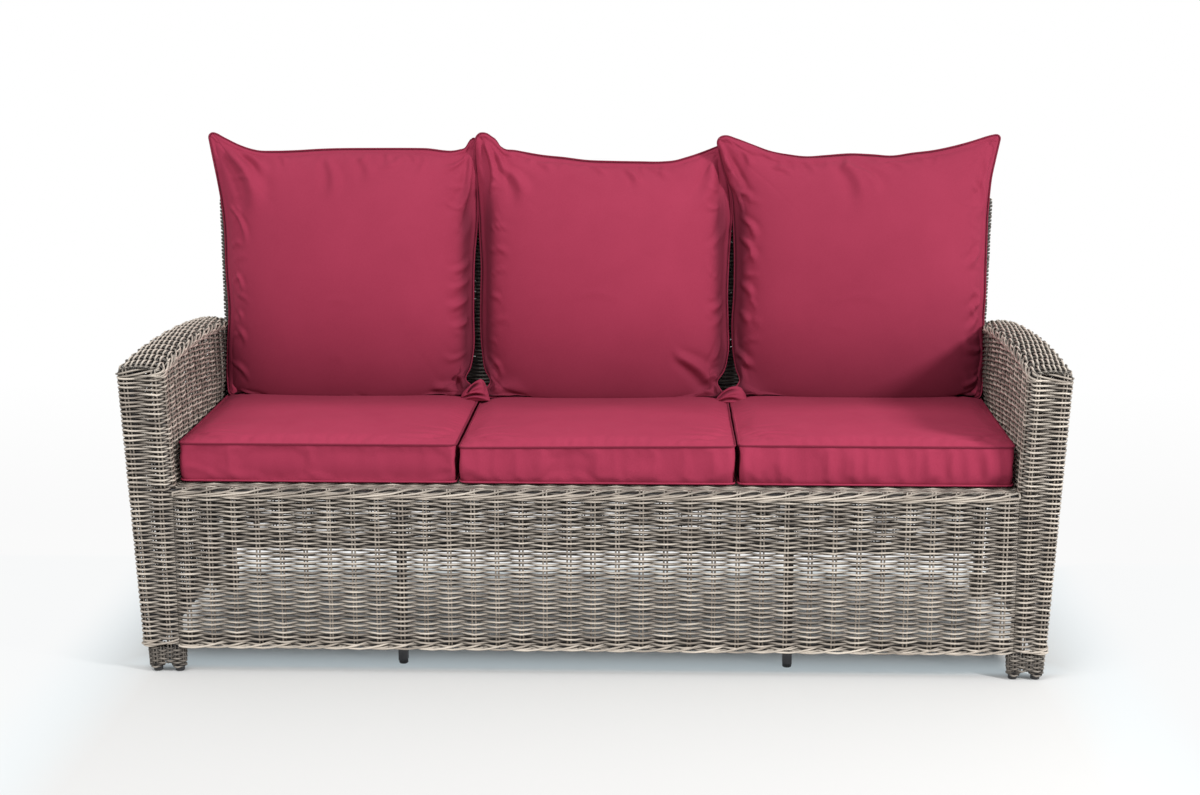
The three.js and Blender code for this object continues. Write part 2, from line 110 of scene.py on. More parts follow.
# Camera, at the place of the photograph
view = {
    "place": (0.1377, -4.3207, 1.3716),
    "pitch": 10.9169,
    "yaw": 1.7956,
    "roll": -0.0082,
    "focal": 1918.5,
    "sensor": 36.0,
    "imageWidth": 1200,
    "clipEnd": 100,
}

def placeCamera():
    pitch, yaw, roll = (math.radians(view[key]) for key in ("pitch", "yaw", "roll"))
    ahead = Vector((-math.sin(yaw) * math.cos(pitch), math.cos(yaw) * math.cos(pitch), -math.sin(pitch)))
    right = Vector((math.cos(yaw), math.sin(yaw), 0))
    up = right.cross(ahead)
    tiltedRight = right * math.cos(roll) + up * math.sin(roll)
    tiltedUp = up * math.cos(roll) - right * math.sin(roll)
    data = bpy.data.cameras.new("photoCamera")
    data.sensor_width = view["sensor"]
    data.lens = view["focal"] * view["sensor"] / view["imageWidth"]
    data.clip_end = view["clipEnd"]
    camera = bpy.data.objects.new("photoCamera", data)
    turn = Matrix((tiltedRight, tiltedUp, -ahead)).transposed().to_4x4()
    camera.matrix_world = Matrix.Translation(view["place"]) @ turn
    scene.collection.objects.link(camera)
    scene.camera = camera

placeCamera()

# Shader groups that several finishes share
def newGroup(name, inputs, outputs):
    group = bpy.data.node_groups.new(name, "ShaderNodeTree")
    for label, kind, value in inputs:
        socket = group.interface.new_socket(label, in_out="INPUT", socket_type=kind)
        if value is not None:
            socket.default_value = value
    for label, kind in outputs:
        group.interface.new_socket(label, in_out="OUTPUT", socket_type=kind)
    start = group.nodes.new("NodeGroupInput")
    end = group.nodes.new("NodeGroupOutput")
    return group, start, end

def addNode(tree, kind, values=None, **settings):
    node = tree.nodes.new(kind)
    for key, value in settings.items():
        setattr(node, key, value)
    for key, value in (values or {}).items():
        node.inputs[key].default_value = value
    return node

def mathNode(tree, operation, first, second=None, third=None):
    node = addNode(tree, "ShaderNodeMath", operation=operation)
    for index, value in enumerate((first, second, third)):
        if isinstance(value, (int, float)):
            node.inputs[index].default_value = value
        elif value is not None:
            tree.links.new(value, node.inputs[index])
    return node.outputs[0]

def spreadOf(tree, value, low, high, newLow=0.0, newHigh=1.0):
    node = addNode(tree, "ShaderNodeMapRange", {1: low, 2: high, 3: newLow, 4: newHigh})
    tree.links.new(value, node.inputs[0])
    return node.outputs[0]

def mottleGroup():
    group, start, end = newGroup(
        "mottle",
        [("Vector", "NodeSocketVector", None), ("Shift", "NodeSocketFloat", 0.0),
         ("Scale", "NodeSocketFloat", 40.0), ("Detail", "NodeSocketFloat", 4.0),
         ("Low", "NodeSocketFloat", 0.35), ("High", "NodeSocketFloat", 0.65)],
        [("Mask", "NodeSocketFloat")])
    noise = addNode(group, "ShaderNodeTexNoise", {"Roughness": 0.6}, noise_dimensions="4D")
    for key in ("Vector", "Scale", "Detail"):
        group.links.new(start.outputs[key], noise.inputs[key])
    group.links.new(start.outputs["Shift"], noise.inputs["W"])
    spread = addNode(group, "ShaderNodeMapRange")
    for index, value in enumerate((noise.outputs[0], start.outputs["Low"], start.outputs["High"])):
        group.links.new(value, spread.inputs[index])
    group.links.new(spread.outputs[0], end.inputs[0])
    return group

dustSpread = {"facing": (0.2, 1.0), "patches": (0.35, 0.7)}

def dustGroup():
    group, start, end = newGroup(
        "dust",
        [("Amount", "NodeSocketFloat", 0.3), ("Scale", "NodeSocketFloat", 30.0)],
        [("Mask", "NodeSocketFloat")])
    geometry = addNode(group, "ShaderNodeNewGeometry")
    split = addNode(group, "ShaderNodeSeparateXYZ")
    group.links.new(geometry.outputs["Normal"], split.inputs[0])
    facingUp = spreadOf(group, split.outputs[2], *dustSpread["facing"])
    place = addNode(group, "ShaderNodeTexCoord")
    noise = addNode(group, "ShaderNodeTexNoise", {"Detail": 5.0, "Roughness": 0.7})
    group.links.new(place.outputs["Object"], noise.inputs["Vector"])
    group.links.new(start.outputs["Scale"], noise.inputs["Scale"])
    patchy = spreadOf(group, noise.outputs[0], *dustSpread["patches"])
    soft = mathNode(group, "MULTIPLY", facingUp, patchy)
    group.links.new(mathNode(group, "MULTIPLY", soft, start.outputs["Amount"]), end.inputs[0])
    return group

def grainGroup():
    group, start, end = newGroup(
        "grain",
        [("Vector", "NodeSocketVector", None), ("Scale", "NodeSocketFloat", 500.0),
         ("Strength", "NodeSocketFloat", 0.2), ("Distance", "NodeSocketFloat", 0.0002)],
        [("Normal", "NodeSocketVector")])
    noise = addNode(group, "ShaderNodeTexNoise", {"Detail": 3.0})
    bump = addNode(group, "ShaderNodeBump")
    for label, node in (("Vector", noise), ("Scale", noise), ("Strength", bump), ("Distance", bump)):
        group.links.new(start.outputs[label], node.inputs[label])
    group.links.new(noise.outputs[0], bump.inputs["Height"])
    group.links.new(bump.outputs[0], end.inputs[0])
    return group

mottle = mottleGroup()
dust = dustGroup()
grain = grainGroup()

def newMaterial(name, roughness, **constants):
    material = bpy.data.materials.new(name)
    material.use_nodes = True
    tree = material.node_tree
    shader = tree.nodes["Principled BSDF"]
    shader.inputs["Roughness"].default_value = roughness
    for label, value in constants.items():
        shader.inputs[label.replace("_", " ")].default_value = value
    return material, tree, shader

def useGroup(tree, group, **values):
    node = addNode(tree, "ShaderNodeGroup")
    node.node_tree = group
    for label, value in values.items():
        if hasattr(value, "is_linked"):
            tree.links.new(value, node.inputs[label])
        else:
            node.inputs[label].default_value = value
    return node.outputs[0]

def blendColours(tree, mask, first, second):
    node = addNode(tree, "ShaderNodeMix", data_type="RGBA")
    tree.links.new(mask, node.inputs[0])
    for index, value in ((6, first), (7, second)):
        if isinstance(value, tuple):
            node.inputs[index].default_value = value + (1,)
        else:
            tree.links.new(value, node.inputs[index])
    return node.outputs[2]

strandLook = {
    "dark": (0.087, 0.072, 0.061),
    "middle": (0.320, 0.272, 0.226),
    "light": (0.690, 0.612, 0.520),
    "stops": (0.12, 0.45, 0.85),
    "dust": (0.55, 0.53, 0.50),
    "veil": {"Amount": 0.10, "Scale": 45.0},
    # Painted shade: the colour a strand takes where it dives behind others or faces inward
    "paintedShadeColour": (0.016, 0.014, 0.013),
    "openLevel": 0.90,
    "along": 22.0,
    "across": 900.0,
    "shift": 90.0,
    "streak": {"Scale": 1.0, "Detail": 5.0, "Low": 0.30, "High": 0.70},
    "patch": {"Scale": 11.0, "Detail": 2.0, "Low": 0.3, "High": 0.7},
    "streakShare": 0.45,
    "patchShare": 0.25,
    "toneShare": 0.42,
    "grain": {"Scale": 1.0, "Strength": 0.5, "Distance": 0.0004},
    "roughness": 0.48,
    "roughnessSpread": (0.58, 0.40),
}

def strandMaterial():
    look = strandLook
    material, tree, shader = newMaterial("mottledStrand", look["roughness"])
    place = addNode(tree, "ShaderNodeAttribute", attribute_name="strandPlace")
    tone = addNode(tree, "ShaderNodeAttribute", attribute_name="strandTone")
    stretch = addNode(tree, "ShaderNodeVectorMath", operation="MULTIPLY")
    tree.links.new(place.outputs["Vector"], stretch.inputs[0])
    stretch.inputs[1].default_value = (look["along"], look["across"], look["across"])
    shift = mathNode(tree, "MULTIPLY", tone.outputs["Fac"], look["shift"])
    streak = useGroup(tree, mottle, Vector=stretch.outputs[0], Shift=shift, **look["streak"])
    patch = useGroup(tree, mottle, Vector=place.outputs["Vector"], Shift=shift, **look["patch"])
    patchPart = mathNode(tree, "MULTIPLY", patch, look["patchShare"])
    mixed = mathNode(tree, "MULTIPLY_ADD", streak, look["streakShare"], patchPart)
    level = mathNode(tree, "MULTIPLY_ADD", tone.outputs["Fac"], look["toneShare"], mixed)
    ramp = addNode(tree, "ShaderNodeValToRGB")
    tree.links.new(level, ramp.inputs[0])
    stops = ramp.color_ramp.elements
    first, middle, last = look["stops"]
    stops[0].position, stops[0].color = first, look["dark"] + (1,)
    stops[1].position, stops[1].color = last, look["light"] + (1,)
    stops.new(middle).color = look["middle"] + (1,)
    veil = useGroup(tree, dust, **look["veil"])
    dusted = blendColours(tree, veil, ramp.outputs[0], look["dust"])
    # Painted shade: strandLight blends each strand towards the shade colour where light hardly reaches it
    light = addNode(tree, "ShaderNodeAttribute", attribute_name="strandLight")
    openness = spreadOf(tree, light.outputs["Fac"], 0.0, look["openLevel"])
    tree.links.new(blendColours(tree, openness, look["paintedShadeColour"], dusted), shader.inputs["Base Color"])
    tree.links.new(spreadOf(tree, streak, 0, 1, *look["roughnessSpread"]), shader.inputs["Roughness"])
    normal = useGroup(tree, grain, Vector=stretch.outputs[0], **look["grain"])
    tree.links.new(normal, shader.inputs["Normal"])
    return material

paintLook = {
    "patch": {"Shift": 3.0, "Scale": 35.0, "Detail": 6.0, "Low": 0.35, "High": 0.75},
    "veil": {"Amount": 0.35, "Scale": 60.0},
    "grain": {"Scale": 1600.0, "Strength": 0.25, "Distance": 0.0001},
    "smoother": 0.08,
    "rougher": 0.12,
    "powderCoat": {"colour": (0.045, 0.045, 0.050), "worn": (0.080, 0.080, 0.086), "roughness": 0.42,
                   "metallic": 0.35},
    "glidePlastic": {"colour": (0.016, 0.016, 0.018), "worn": (0.035, 0.035, 0.036), "roughness": 0.55,
                     "metallic": 0.0},
}

def paintMaterial(name):
    look = paintLook[name]
    roughness = look["roughness"]
    material, tree, shader = newMaterial(name, roughness, Metallic=look["metallic"])
    place = addNode(tree, "ShaderNodeTexCoord").outputs["Object"]
    patch = useGroup(tree, mottle, Vector=place, **paintLook["patch"])
    veil = useGroup(tree, dust, **paintLook["veil"])
    tinted = blendColours(tree, patch, look["colour"], look["worn"])
    tree.links.new(blendColours(tree, veil, tinted, strandLook["dust"]), shader.inputs["Base Color"])
    spread = spreadOf(tree, patch, 0, 1, roughness - paintLook["smoother"], roughness + paintLook["rougher"])
    tree.links.new(spread, shader.inputs["Roughness"])
    normal = useGroup(tree, grain, Vector=place, **paintLook["grain"])
    tree.links.new(normal, shader.inputs["Normal"])
    return material

strandFinish = strandMaterial()
powderCoat = paintMaterial("powderCoat")
glidePlastic = paintMaterial("glidePlastic")
print("finishes ready")

tiny = 1e-9
# faceLight and roundLight are painted light: each strand is lighter on its outward side and darker on its
# inward side
strand = {"radius": 0.0024, "sides": 5, "lit": 0.9, "faceLight": 0.60, "roundLight": 0.40}

def unit(vectors):
    return vectors / np.maximum(np.linalg.norm(vectors, axis=-1, keepdims=True), tiny)

# Round strands laid along rows of points; lit is painted light and shade, 1 where a strand stands out and 0
# where it dives behind others
def strandBatch(paths, normals, radius, sides, tones, endless=False, lit=strand["lit"]):
    paths = np.asarray(paths, float)
    count, length = paths.shape[:2]
    if endless:
        along = np.roll(paths, -1, axis=1) - np.roll(paths, 1, axis=1)
    else:
        along = np.gradient(paths, axis=1)
    along = unit(along)
    across = unit(np.cross(along, normals))
    outward = np.cross(across, along)
    turn = 2 * np.pi * (np.arange(sides) + 0.5) / sides
    cosine = np.cos(turn)[None, None, :, None]
    sine = np.sin(turn)[None, None, :, None]
    reach = np.broadcast_to(np.asarray(radius, float), (count, length))[:, :, None, None]
    rings = paths[:, :, None] + reach * (cosine * outward[:, :, None] + sine * across[:, :, None])
    index = np.arange(count * length * sides).reshape(count, length, sides)
    here = index if endless else index[:, :-1]
    beyond = np.roll(index, -1, axis=1) if endless else index[:, 1:]
    quads = np.stack([here, np.roll(here, -1, axis=2), np.roll(beyond, -1, axis=2), beyond], axis=-1)
    faces = quads.reshape(-1, 4).tolist()
    if not endless:
        faces += index[:, 0, ::-1].tolist()
        faces += index[:, -1].tolist()
    steps = np.linalg.norm(np.diff(paths, axis=1), axis=2)
    distance = np.concatenate([np.zeros((count, 1)), np.cumsum(steps, axis=1)], axis=1)
    place = np.empty((count, length, sides, 3))
    place[..., 0] = distance[:, :, None]
    place[..., 1:2] = reach * cosine
    place[..., 2:3] = reach * sine
    tone = np.broadcast_to(np.asarray(tones, float)[:, None, None], (count, length, sides))
    facing = strand["faceLight"] + strand["roundLight"] * cosine[..., 0]
    light = np.broadcast_to(np.asarray(lit, float), (count, length))[:, :, None] * facing
    return rings.reshape(-1, 3), faces, place.reshape(-1, 3), tone.reshape(-1), light.reshape(-1)

# Joins batches of strands into one piece of the frame
def strandPiece(name, batches, node):
    points, faces, places, tones, lights = [], [], [], [], []
    offset = 0
    for ring, face, place, tone, light in batches:
        faces += [[corner + offset for corner in corners] for corners in face] if offset else face
        offset += len(ring)
        points.append(ring)
        places.append(place)
        tones.append(tone)
        lights.append(light)
    mesh = bpy.data.meshes.new(name)
    mesh.from_pydata(np.concatenate(points).tolist(), [], faces)
    placeData = mesh.attributes.new("strandPlace", "FLOAT_VECTOR", "POINT")
    placeData.data.foreach_set("vector", np.concatenate(places).ravel())
    for label, values in (("strandTone", tones), ("strandLight", lights)):
        mesh.attributes.new(label, "FLOAT", "POINT").data.foreach_set("value", np.concatenate(values))
    mesh.polygons.foreach_set("use_smooth", np.ones(len(mesh.polygons), bool))
    mesh.materials.append(strandFinish)
    mesh.update()
    piece = bpy.data.objects.new(name, mesh)
    scene.collection.objects.link(piece)
    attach(piece, "frame")
    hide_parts(node)
    print(name, len(mesh.polygons), "faces")

weave = {
    "rowPitch": 0.0053,
    "step": 0.25,
    "stakeRadius": 0.0021,
    "stakeSpread": 0.0035,
    "stakeJitter": 0.0004,
    "swing": 0.0037,
    "swingSpread": (0.9, 1.08),
    "sag": 0.0008,
    "lowSag": 0.0020,
    "lowSagHeight": 0.06,
    "lowSagReach": 0.07,
    "inset": 0.0033,
    "radiusSpread": 0.10,
    "heightJitter": 0.00035,
    # Painted shade: creviceFall darkens strands as they dive, and stakeLight paints the stakes darker
    "creviceFall": 1.1,
    "stakeLight": 0.55,
    "rowSeed": 1000,
}

# Rows of strands in and out of the stakes, which stand at whole phases.
# place(phase, row) gives points, outward normals and the direction along the row.
def weaveRows(place, phases, rows, seed, sides=strand["sides"], endless=False, firstRow=0, swing=None,
              rowSeed=None, shade=1.0, thickness=strand["radius"], paintedLight=0.0,
              fall=weave["creviceFall"], dim=None):
    random = np.random.default_rng(seed)
    rowRandom = np.random.default_rng(rowSeed or seed + weave["rowSeed"])
    rows = np.asarray(rows, float)
    phase = np.broadcast_to(phases, (len(rows), len(phases)))
    row = np.broadcast_to(rows[:, None], phase.shape)
    points, normals, along = place(phase, row)
    side = np.where((np.arange(len(rows)) + firstRow) % 2 == 0, 1.0, -1.0)[:, None]
    wave = np.cos(np.pi * phase) * side
    depth = (swing or weave["swing"]) * rowRandom.uniform(*weave["swingSpread"], (len(rows), 1))
    drift = random.normal(0, 1, (len(rows), len(phases)))
    drift = (drift + np.roll(drift, 1, axis=1) + np.roll(drift, -1, axis=1)) * weave["heightJitter"]
    points = points + normals * (wave * depth)[..., None]
    nearFoot = np.exp(-np.abs(points[..., 2] - weave["lowSagHeight"]) / weave["lowSagReach"])
    sag = weave["sag"] + (0 if swing else weave["lowSag"]) * nearFoot
    drop = drift - sag * np.maximum(wave, 0)
    rise = np.cross(normals, along)
    rise = rise * np.where(rise[..., 2:] < 0, -1, 1)
    points = points + rise * drop[..., None]
    spread = weave["radiusSpread"]
    radius = thickness * rowRandom.uniform(1 - spread, 1 + spread, (len(rows), 1))
    # Painted light: this lifts the tone of whole rows where light falls on them
    tones = rowRandom.random(len(rows)) + paintedLight
    # Painted shade: strands darken where they dive, scaled by shade and by dim
    lit = shade * (0.5 + 0.5 * wave) ** fall
    if dim:
        lit = lit * dim(points)
    return strandBatch(points, normals, radius, sides, tones, endless, lit)

def weaveStakes(place, stakes, rows, seed, sides=strand["sides"], shade=1.0):
    random = np.random.default_rng(seed)
    stakes = np.asarray(stakes, float)
    row = np.broadcast_to(np.asarray(rows, float), (len(stakes), len(rows)))
    phase = np.broadcast_to(stakes[:, None], row.shape)
    points, normals, along = place(phase, row)
    batches = []
    for side in (-1, 1):
        offset = side * weave["stakeSpread"] + random.normal(0, weave["stakeJitter"], (len(stakes), 1))
        centre = points + along * offset[..., None]
        # Painted shade: stakes are painted darker than the rows
        batches.append(strandBatch(centre, normals, weave["stakeRadius"], sides, random.random(len(stakes)),
                                   lit=shade * weave["stakeLight"]))
    return batches

# Even stations along a line: the distance, place, outward direction and direction across at each
def evenStations(points, normals, countFor):
    steps = np.linalg.norm(np.diff(points, axis=0), axis=1)
    distance = np.concatenate([[0], np.cumsum(steps)])
    stations = np.linspace(0, distance[-1], countFor(distance[-1]))
    path, outward = (np.stack([np.interp(stations, distance, values[:, axis]) for axis in range(3)], axis=1)
                     for values in (points, normals))
    outward = unit(outward)
    return stations, path, outward, unit(np.cross(unit(np.gradient(path, axis=0)), outward))

# Three strands plaited along a line
def plait(points, normals, seed, shape):
    random = np.random.default_rng(seed)
    period = shape["period"]
    density = shape["stepsPerPeriod"]
    stations, path, outward, across = evenStations(
        points, normals, lambda total: max(int(total / period * density), shape["leastSteps"]))
    batches = []
    for index in range(shape["strands"]):
        turn = 2 * np.pi * (stations / period + index / shape["strands"])
        sway = across * (shape["width"] * np.sin(turn))[:, None]
        swayed = path + sway + outward * (shape["depth"] * np.sin(2 * turn))[:, None]
        tone = [random.random()]
        batches.append(strandBatch(swayed[None], outward[None], shape["radius"], shape["sides"], tone))
    return batches

# Long strands laid round each other in a rope, as a rolled border
def rope(points, normals, seed, shape):
    random = np.random.default_rng(seed)
    stations, path, outward, across = evenStations(
        points, normals, lambda total: max(int(total / shape["step"]), shape["leastSteps"]))
    batches = []
    for index in range(shape["strands"]):
        uneven = random.normal(0, shape["jitter"])
        turn = 2 * np.pi * (stations / shape["period"] + index / shape["strands"] + uneven)
        sway = across * (shape["width"] * np.sin(turn))[:, None]
        laid = path + sway + outward * (shape["depth"] * np.cos(turn))[:, None]
        # Painted shade: each rope strand is darker where it turns away
        light = strand["faceLight"] + strand["roundLight"] * np.cos(turn)
        tone = [random.random()]
        batches.append(strandBatch(laid[None], outward[None], shape["radius"], shape["sides"], tone,
                                   lit=light[None]))
    return batches

border = {
    "radius": 0.0023,
    "steps": 22,
    "sides": 6,
    "stakeJitter": 0.05,
    "heightJitter": 0.0004,
    "toneFrom": 0.3,
    "toneSpread": 0.8,
}

# One strand from each stake, laid over the next ones: stations hold share, height, reach outwards and painted
# light, which shades the strand where it dives and, on the top border, under the cushions
def rolledBorder(place, stakes, span, stations, seed, radius=border["radius"], turn=-1):
    random = np.random.default_rng(seed)
    jitter = random.normal(0, border["stakeJitter"], (len(stakes), 1))
    stakes = np.asarray(stakes, float)[:, None] + jitter
    stations = np.array(stations)
    share = np.linspace(0, 1, border["steps"])
    height, reach, lit = (np.interp(share, stations[:, 0], stations[:, column]) for column in (1, 2, 3))
    phase = stakes + turn * span * share
    height = height + random.normal(0, border["heightJitter"], stakes.shape)
    points, normals, _ = place(phase, height)
    points = points + normals * reach[None, :, None]
    light = np.broadcast_to(lit, phase.shape)
    tones = random.random(len(stakes)) * border["toneSpread"] + border["toneFrom"]
    return [strandBatch(points, normals, radius, border["sides"], tones, lit=light)]

def toFrame(x, d, z):
    return np.stack([x, d + form["frontFace"], z], axis=-1)

def flat(x, y, z, like):
    return np.stack([np.broadcast_to(v, like.shape) for v in (x, y, z)], axis=-1).astype(float)

arcSteps = 8

def arcPlaces(centreX, centreD, radius, start, end, steps=arcSteps):
    turns = [(math.cos(angle), math.sin(angle)) for angle in np.linspace(start, end, steps + 1)]
    return [(centreX + radius * cosine, centreD + radius * sine, cosine, sine) for cosine, sine in turns]

# A run of places (x, depth, outward x, outward depth) with a phase at each named stop
class Run:
    def __init__(self, places, stops):
        self.data = np.array(places)
        steps = np.linalg.norm(np.diff(self.data[:, :2], axis=0), axis=1)
        self.distance = np.concatenate([[0], np.cumsum(steps)])
        self.stopPhases = [phase for _, phase in stops]
        self.stopDistances = [self.distance[index] for index, _ in stops]

    def at(self, phase):
        distance = np.interp(phase, self.stopPhases, self.stopDistances)
        return [np.interp(distance, self.distance, self.data[:, column]) for column in range(4)]

quarter = math.pi / 2
armPhases = {
    "skirtStart": -1.5, "frontOuter": 0.15, "outerFront": 0.5, "outerRear": 13.5, "rearOuter": 14.4,
    "rearInner": 15.2, "innerRear": 15.45, "innerFront": 28.05, "frontInner": 29.0, "closing": 30.15,
}
skirtStops = list(armPhases.values())[:5]
armStops = list(armPhases.values())[1:]

# A run over rounded corners, which has a stop at each of its first places and at both ends of each corner
def cornerRun(places, corners, phases, closed=False):
    stops = list(range(len(places)))
    for corner in corners:
        arc = arcPlaces(*corner)
        stops += [len(places), len(places) + len(arc) - 1]
        places = places + arc
    if closed:
        stops.append(len(places))
        places = places + places[:1]
    return Run(places, list(zip(stops, phases)))

def outerCorners(inset):
    outer = outerX(form["armBase"])
    corner, end, length = (form[key] for key in ("cornerRadius", "endRadius", "baseDepth"))
    return [(outer - corner, corner, corner - inset, -quarter, 0),
            (outer - end, length - end, end - inset, 0, quarter)]

# Closed plan of an arm at the deck, from the front outer corner round to the front again
def armRun(inset):
    height, length = form["armBase"], form["baseDepth"]
    corner, tail = form["innerCornerRadius"], form["innerEndRadius"]
    inner, innerEnd = innerX(height, 0), innerX(height, length)
    corners = outerCorners(inset)
    corners.append((innerEnd + tail, length - tail, tail - inset, quarter, 2 * quarter))
    corners.append((inner + corner, corner, corner - inset, 2 * quarter, 3 * quarter))
    return cornerRun([], corners, armStops, closed=True)

# Open plan of a side skirt, from the front skirt round the outer side to the rear skirt
def skirtRun(inset):
    start = (innerX(form["armBase"], 0) + skirt["edgeGap"], inset, 0, -1)
    return cornerRun([start], outerCorners(inset), skirtStops)

# Places on the upright faces of an arm or side skirt; the outer side leans with the flare
def uprightFaces(side, run, heightOf, innerOf):
    base = form["armBase"]

    def place(phase, row):
        x, d, nx, nd = run.at(phase)
        z = heightOf(row, d)
        share = (x - innerOf(base, d)) / (outerX(base) - innerOf(base, d))
        leaning = innerOf(z, d) + share * (outerX(z, side, d) - innerOf(z, d))
        normal = np.stack([side * nx, nd, np.zeros_like(nx)], axis=-1)
        along = np.stack([-side * nd, nx, np.zeros_like(nx)], axis=-1)
        return toFrame(side * leaning, d, z), normal, along

    return place

armWeave = {
    "seed": 20,
    "seedSteps": {"stakes": 5, "top": 9, "topStakes": 13, "roll": 17, "rearPlait": 25},
    "sideRows": 49,
    "lowRow": 0.0025,
    # Painted light: the arms' side strands are painted paler, the right one more as the key light falls on
    # it, and the crest palest
    "paintedLight": {"left": 0.16, "right": 0.24},
    "stakes": 30,
    "stakeRows": (-0.4, 50.5, 9),
    "topRows": 18,
    "topThickness": 0.0022,
    "topPaintedLight": 1.30,
    "topSwing": 0.0046,
    "topFall": 2.1,
    "topSpan": (0.36, 14.05),
    "topStakes": 13,
    "topStakeRows": 13,
    # Painted shade: the top stakes and the inner side beside the pillow are darkened
    "topStakeShade": 0.4,
    "pillowShade": 0.75,
    "pillowSide": (0.955, 0.02),
    "pillowDepth": (0.44, 0.14),
    "rollStart": 0.080,
    "rollInnerStart": 0.02,
    "rollEnd": 0.650,
    "rollPlaces": 28,
    "rollCornerSteps": 4,
    "rollInset": 0.0055,
    "rollPitch": 0.040,
    "rollSpan": 3.4,
    "rollFirst": -0.5,
    "rollShort": 1.5,
    "rollEdge": 0.010,
    "rollRadius": 0.0022,
    # The last column of a roll is painted light, darker where the strand dives
    "roll": [(0, -0.0150, -0.0050, 0.10), (0.10, -0.0135, -0.0010, 0.40), (0.28, -0.0100, 0.0000, 0.70),
             (0.50, -0.0040, 0.0005, 0.85), (0.70, 0.0030, 0.0008, 0.90), (0.86, 0.0095, 0.0005, 0.80),
             (0.95, 0.0135, -0.0020, 0.5), (1, 0.0155, -0.0045, 0.10)],
    "rearPlait": {"width": 0.0050, "depth": 0.0026, "period": 0.050, "radius": 0.0024, "strands": 3,
                  "sides": 5, "stepsPerPeriod": 8, "leastSteps": 4},
    "rearPlaitPhase": 14.15,
    "rearPlaitShares": (0.02, 0.98, 24),
    "rearPlaitTilt": 1.2,
}

# Painted shade: the inner side of an arm is darkened beside the pillow
def besidePillow(points):
    d = points[..., 1] - form["frontFace"]
    (faceX, fadeX), (startDepth, fadeDepth) = armWeave["pillowSide"], armWeave["pillowDepth"]
    inside = smooth((faceX - np.abs(points[..., 0])) / fadeX)
    return 1 - armWeave["pillowShade"] * inside * smooth((d - startDepth) / fadeDepth)

def armRowHeight(row, d):
    low = form["armBase"] + armWeave["lowRow"]
    high = armTop(d) - form["topRadius"]
    return low + (high - low) * row / (armWeave["sideRows"] - 1)

# Places over the top of an arm: share runs from the outer edge to the inner one
def armCrest(side):
    edge = form["topRadius"]
    radius = edge - weave["inset"]
    bend = radius * quarter
    straight = form["baseDepth"] - form["cornerRadius"] - form["endRadius"]
    pitch = straight / (armPhases["outerRear"] - armPhases["outerFront"])
    corner = form["innerCornerRadius"]

    def place(phase, share):
        d = form["cornerRadius"] + (phase - armPhases["outerFront"]) * pitch
        top = armTop(d)
        outer = outerX(top - edge, side, d)
        cut = corner - np.sqrt(np.maximum(corner ** 2 - np.maximum(corner - d, 0) ** 2, 0))
        width = outer - innerX(top, d) - cut
        total = width - 2 * edge + 2 * bend
        run = share * total
        first = np.clip(run / radius, 0, quarter)
        last = np.clip((total - run) / radius, 0, quarter)
        angle = np.where(run < bend, first, np.where(total - run < bend, np.pi - last, quarter))
        middle = np.clip(run - bend, 0, width - 2 * edge)
        across = edge + middle - radius * np.cos(angle)
        part = across / width
        rise = form["armCrown"] * 4 * part * (1 - part) * np.clip(np.sin(angle), 0, 1)
        z = top - edge + radius * np.sin(angle) + rise
        normal = np.stack([side * np.cos(angle), np.zeros_like(angle), np.sin(angle)], axis=-1)
        along = flat(0, 1, 0, angle)
        return toFrame(side * (outer - across), d, z), normal, along

    return place

# The rolled border: over the front edge from the outer corner, then back along the inner ridge.
# Heights are measured over the rounded edge, from below it to the top side.
def armBorder(side):
    top = armTop(0)
    inner, corner, bend = innerX(top, 0), form["innerCornerRadius"], form["cornerRadius"]
    outer = outerX(top, side) - armWeave["rollInset"]
    steps = armWeave["rollCornerSteps"]
    places = [(outer, armWeave["rollStart"], 1, 0), (outer, bend, 1, 0)]
    places += arcPlaces(outer - bend, bend, bend, 0, -quarter, steps)[1:]
    places += [(inner + corner, 0.0, 0, -1)]
    places += arcPlaces(inner + corner, corner, corner, -quarter, -2 * quarter, steps)[1:]
    depths = np.linspace(corner + armWeave["rollInnerStart"], armWeave["rollEnd"], armWeave["rollPlaces"])
    places += [(innerX(armTop(d), d), d, -1, 0) for d in depths]
    run = Run(places, [(0, 0), (len(places) - 1, 1)])
    pitches = run.distance[-1] / armWeave["rollPitch"]
    radius = armWeave["rollEdge"]

    def place(phase, height):
        x, d, nx, nd = run.at(phase / pitches)
        length = np.maximum(np.hypot(nx, nd), tiny)
        face = np.stack([side * nx / length, nd / length, 0 * nx], axis=-1)
        up = np.array([0, 0, 1.0])
        angle = np.clip(height / radius + quarter / 2, 0, quarter)[..., None]
        beyond = np.clip(height - radius * quarter / 2, 0, None)[..., None]
        below = np.clip(height + radius * quarter / 2, None, 0)[..., None]
        normal = face * np.cos(angle) + up * np.sin(angle)
        rounded = toFrame(side * x, d, armTop(d)) - radius * (face + up) + radius * normal
        return rounded - face * beyond + up * below, normal, np.cross(face, up)

    return place, pitches

def phaseSteps(start, end, step, extra=()):
    regular = np.arange(math.ceil(start / step), math.floor(end / step) + 1) * step
    return np.unique(np.round(np.concatenate([[start], regular, [end], list(extra)]), 4))

# Further steps where a strand goes round a corner
extras = {
    "outerCorner": (0.15, 0.24, 0.32, 0.41, 0.5),
    "outerEnd": (13.6, 13.85, 14.1, 14.4),
    "innerEnd": (15.2, 15.28, 15.37, 15.45),
    "innerCorner": (28.05, 28.15, 28.35, 28.6, 28.88),
}

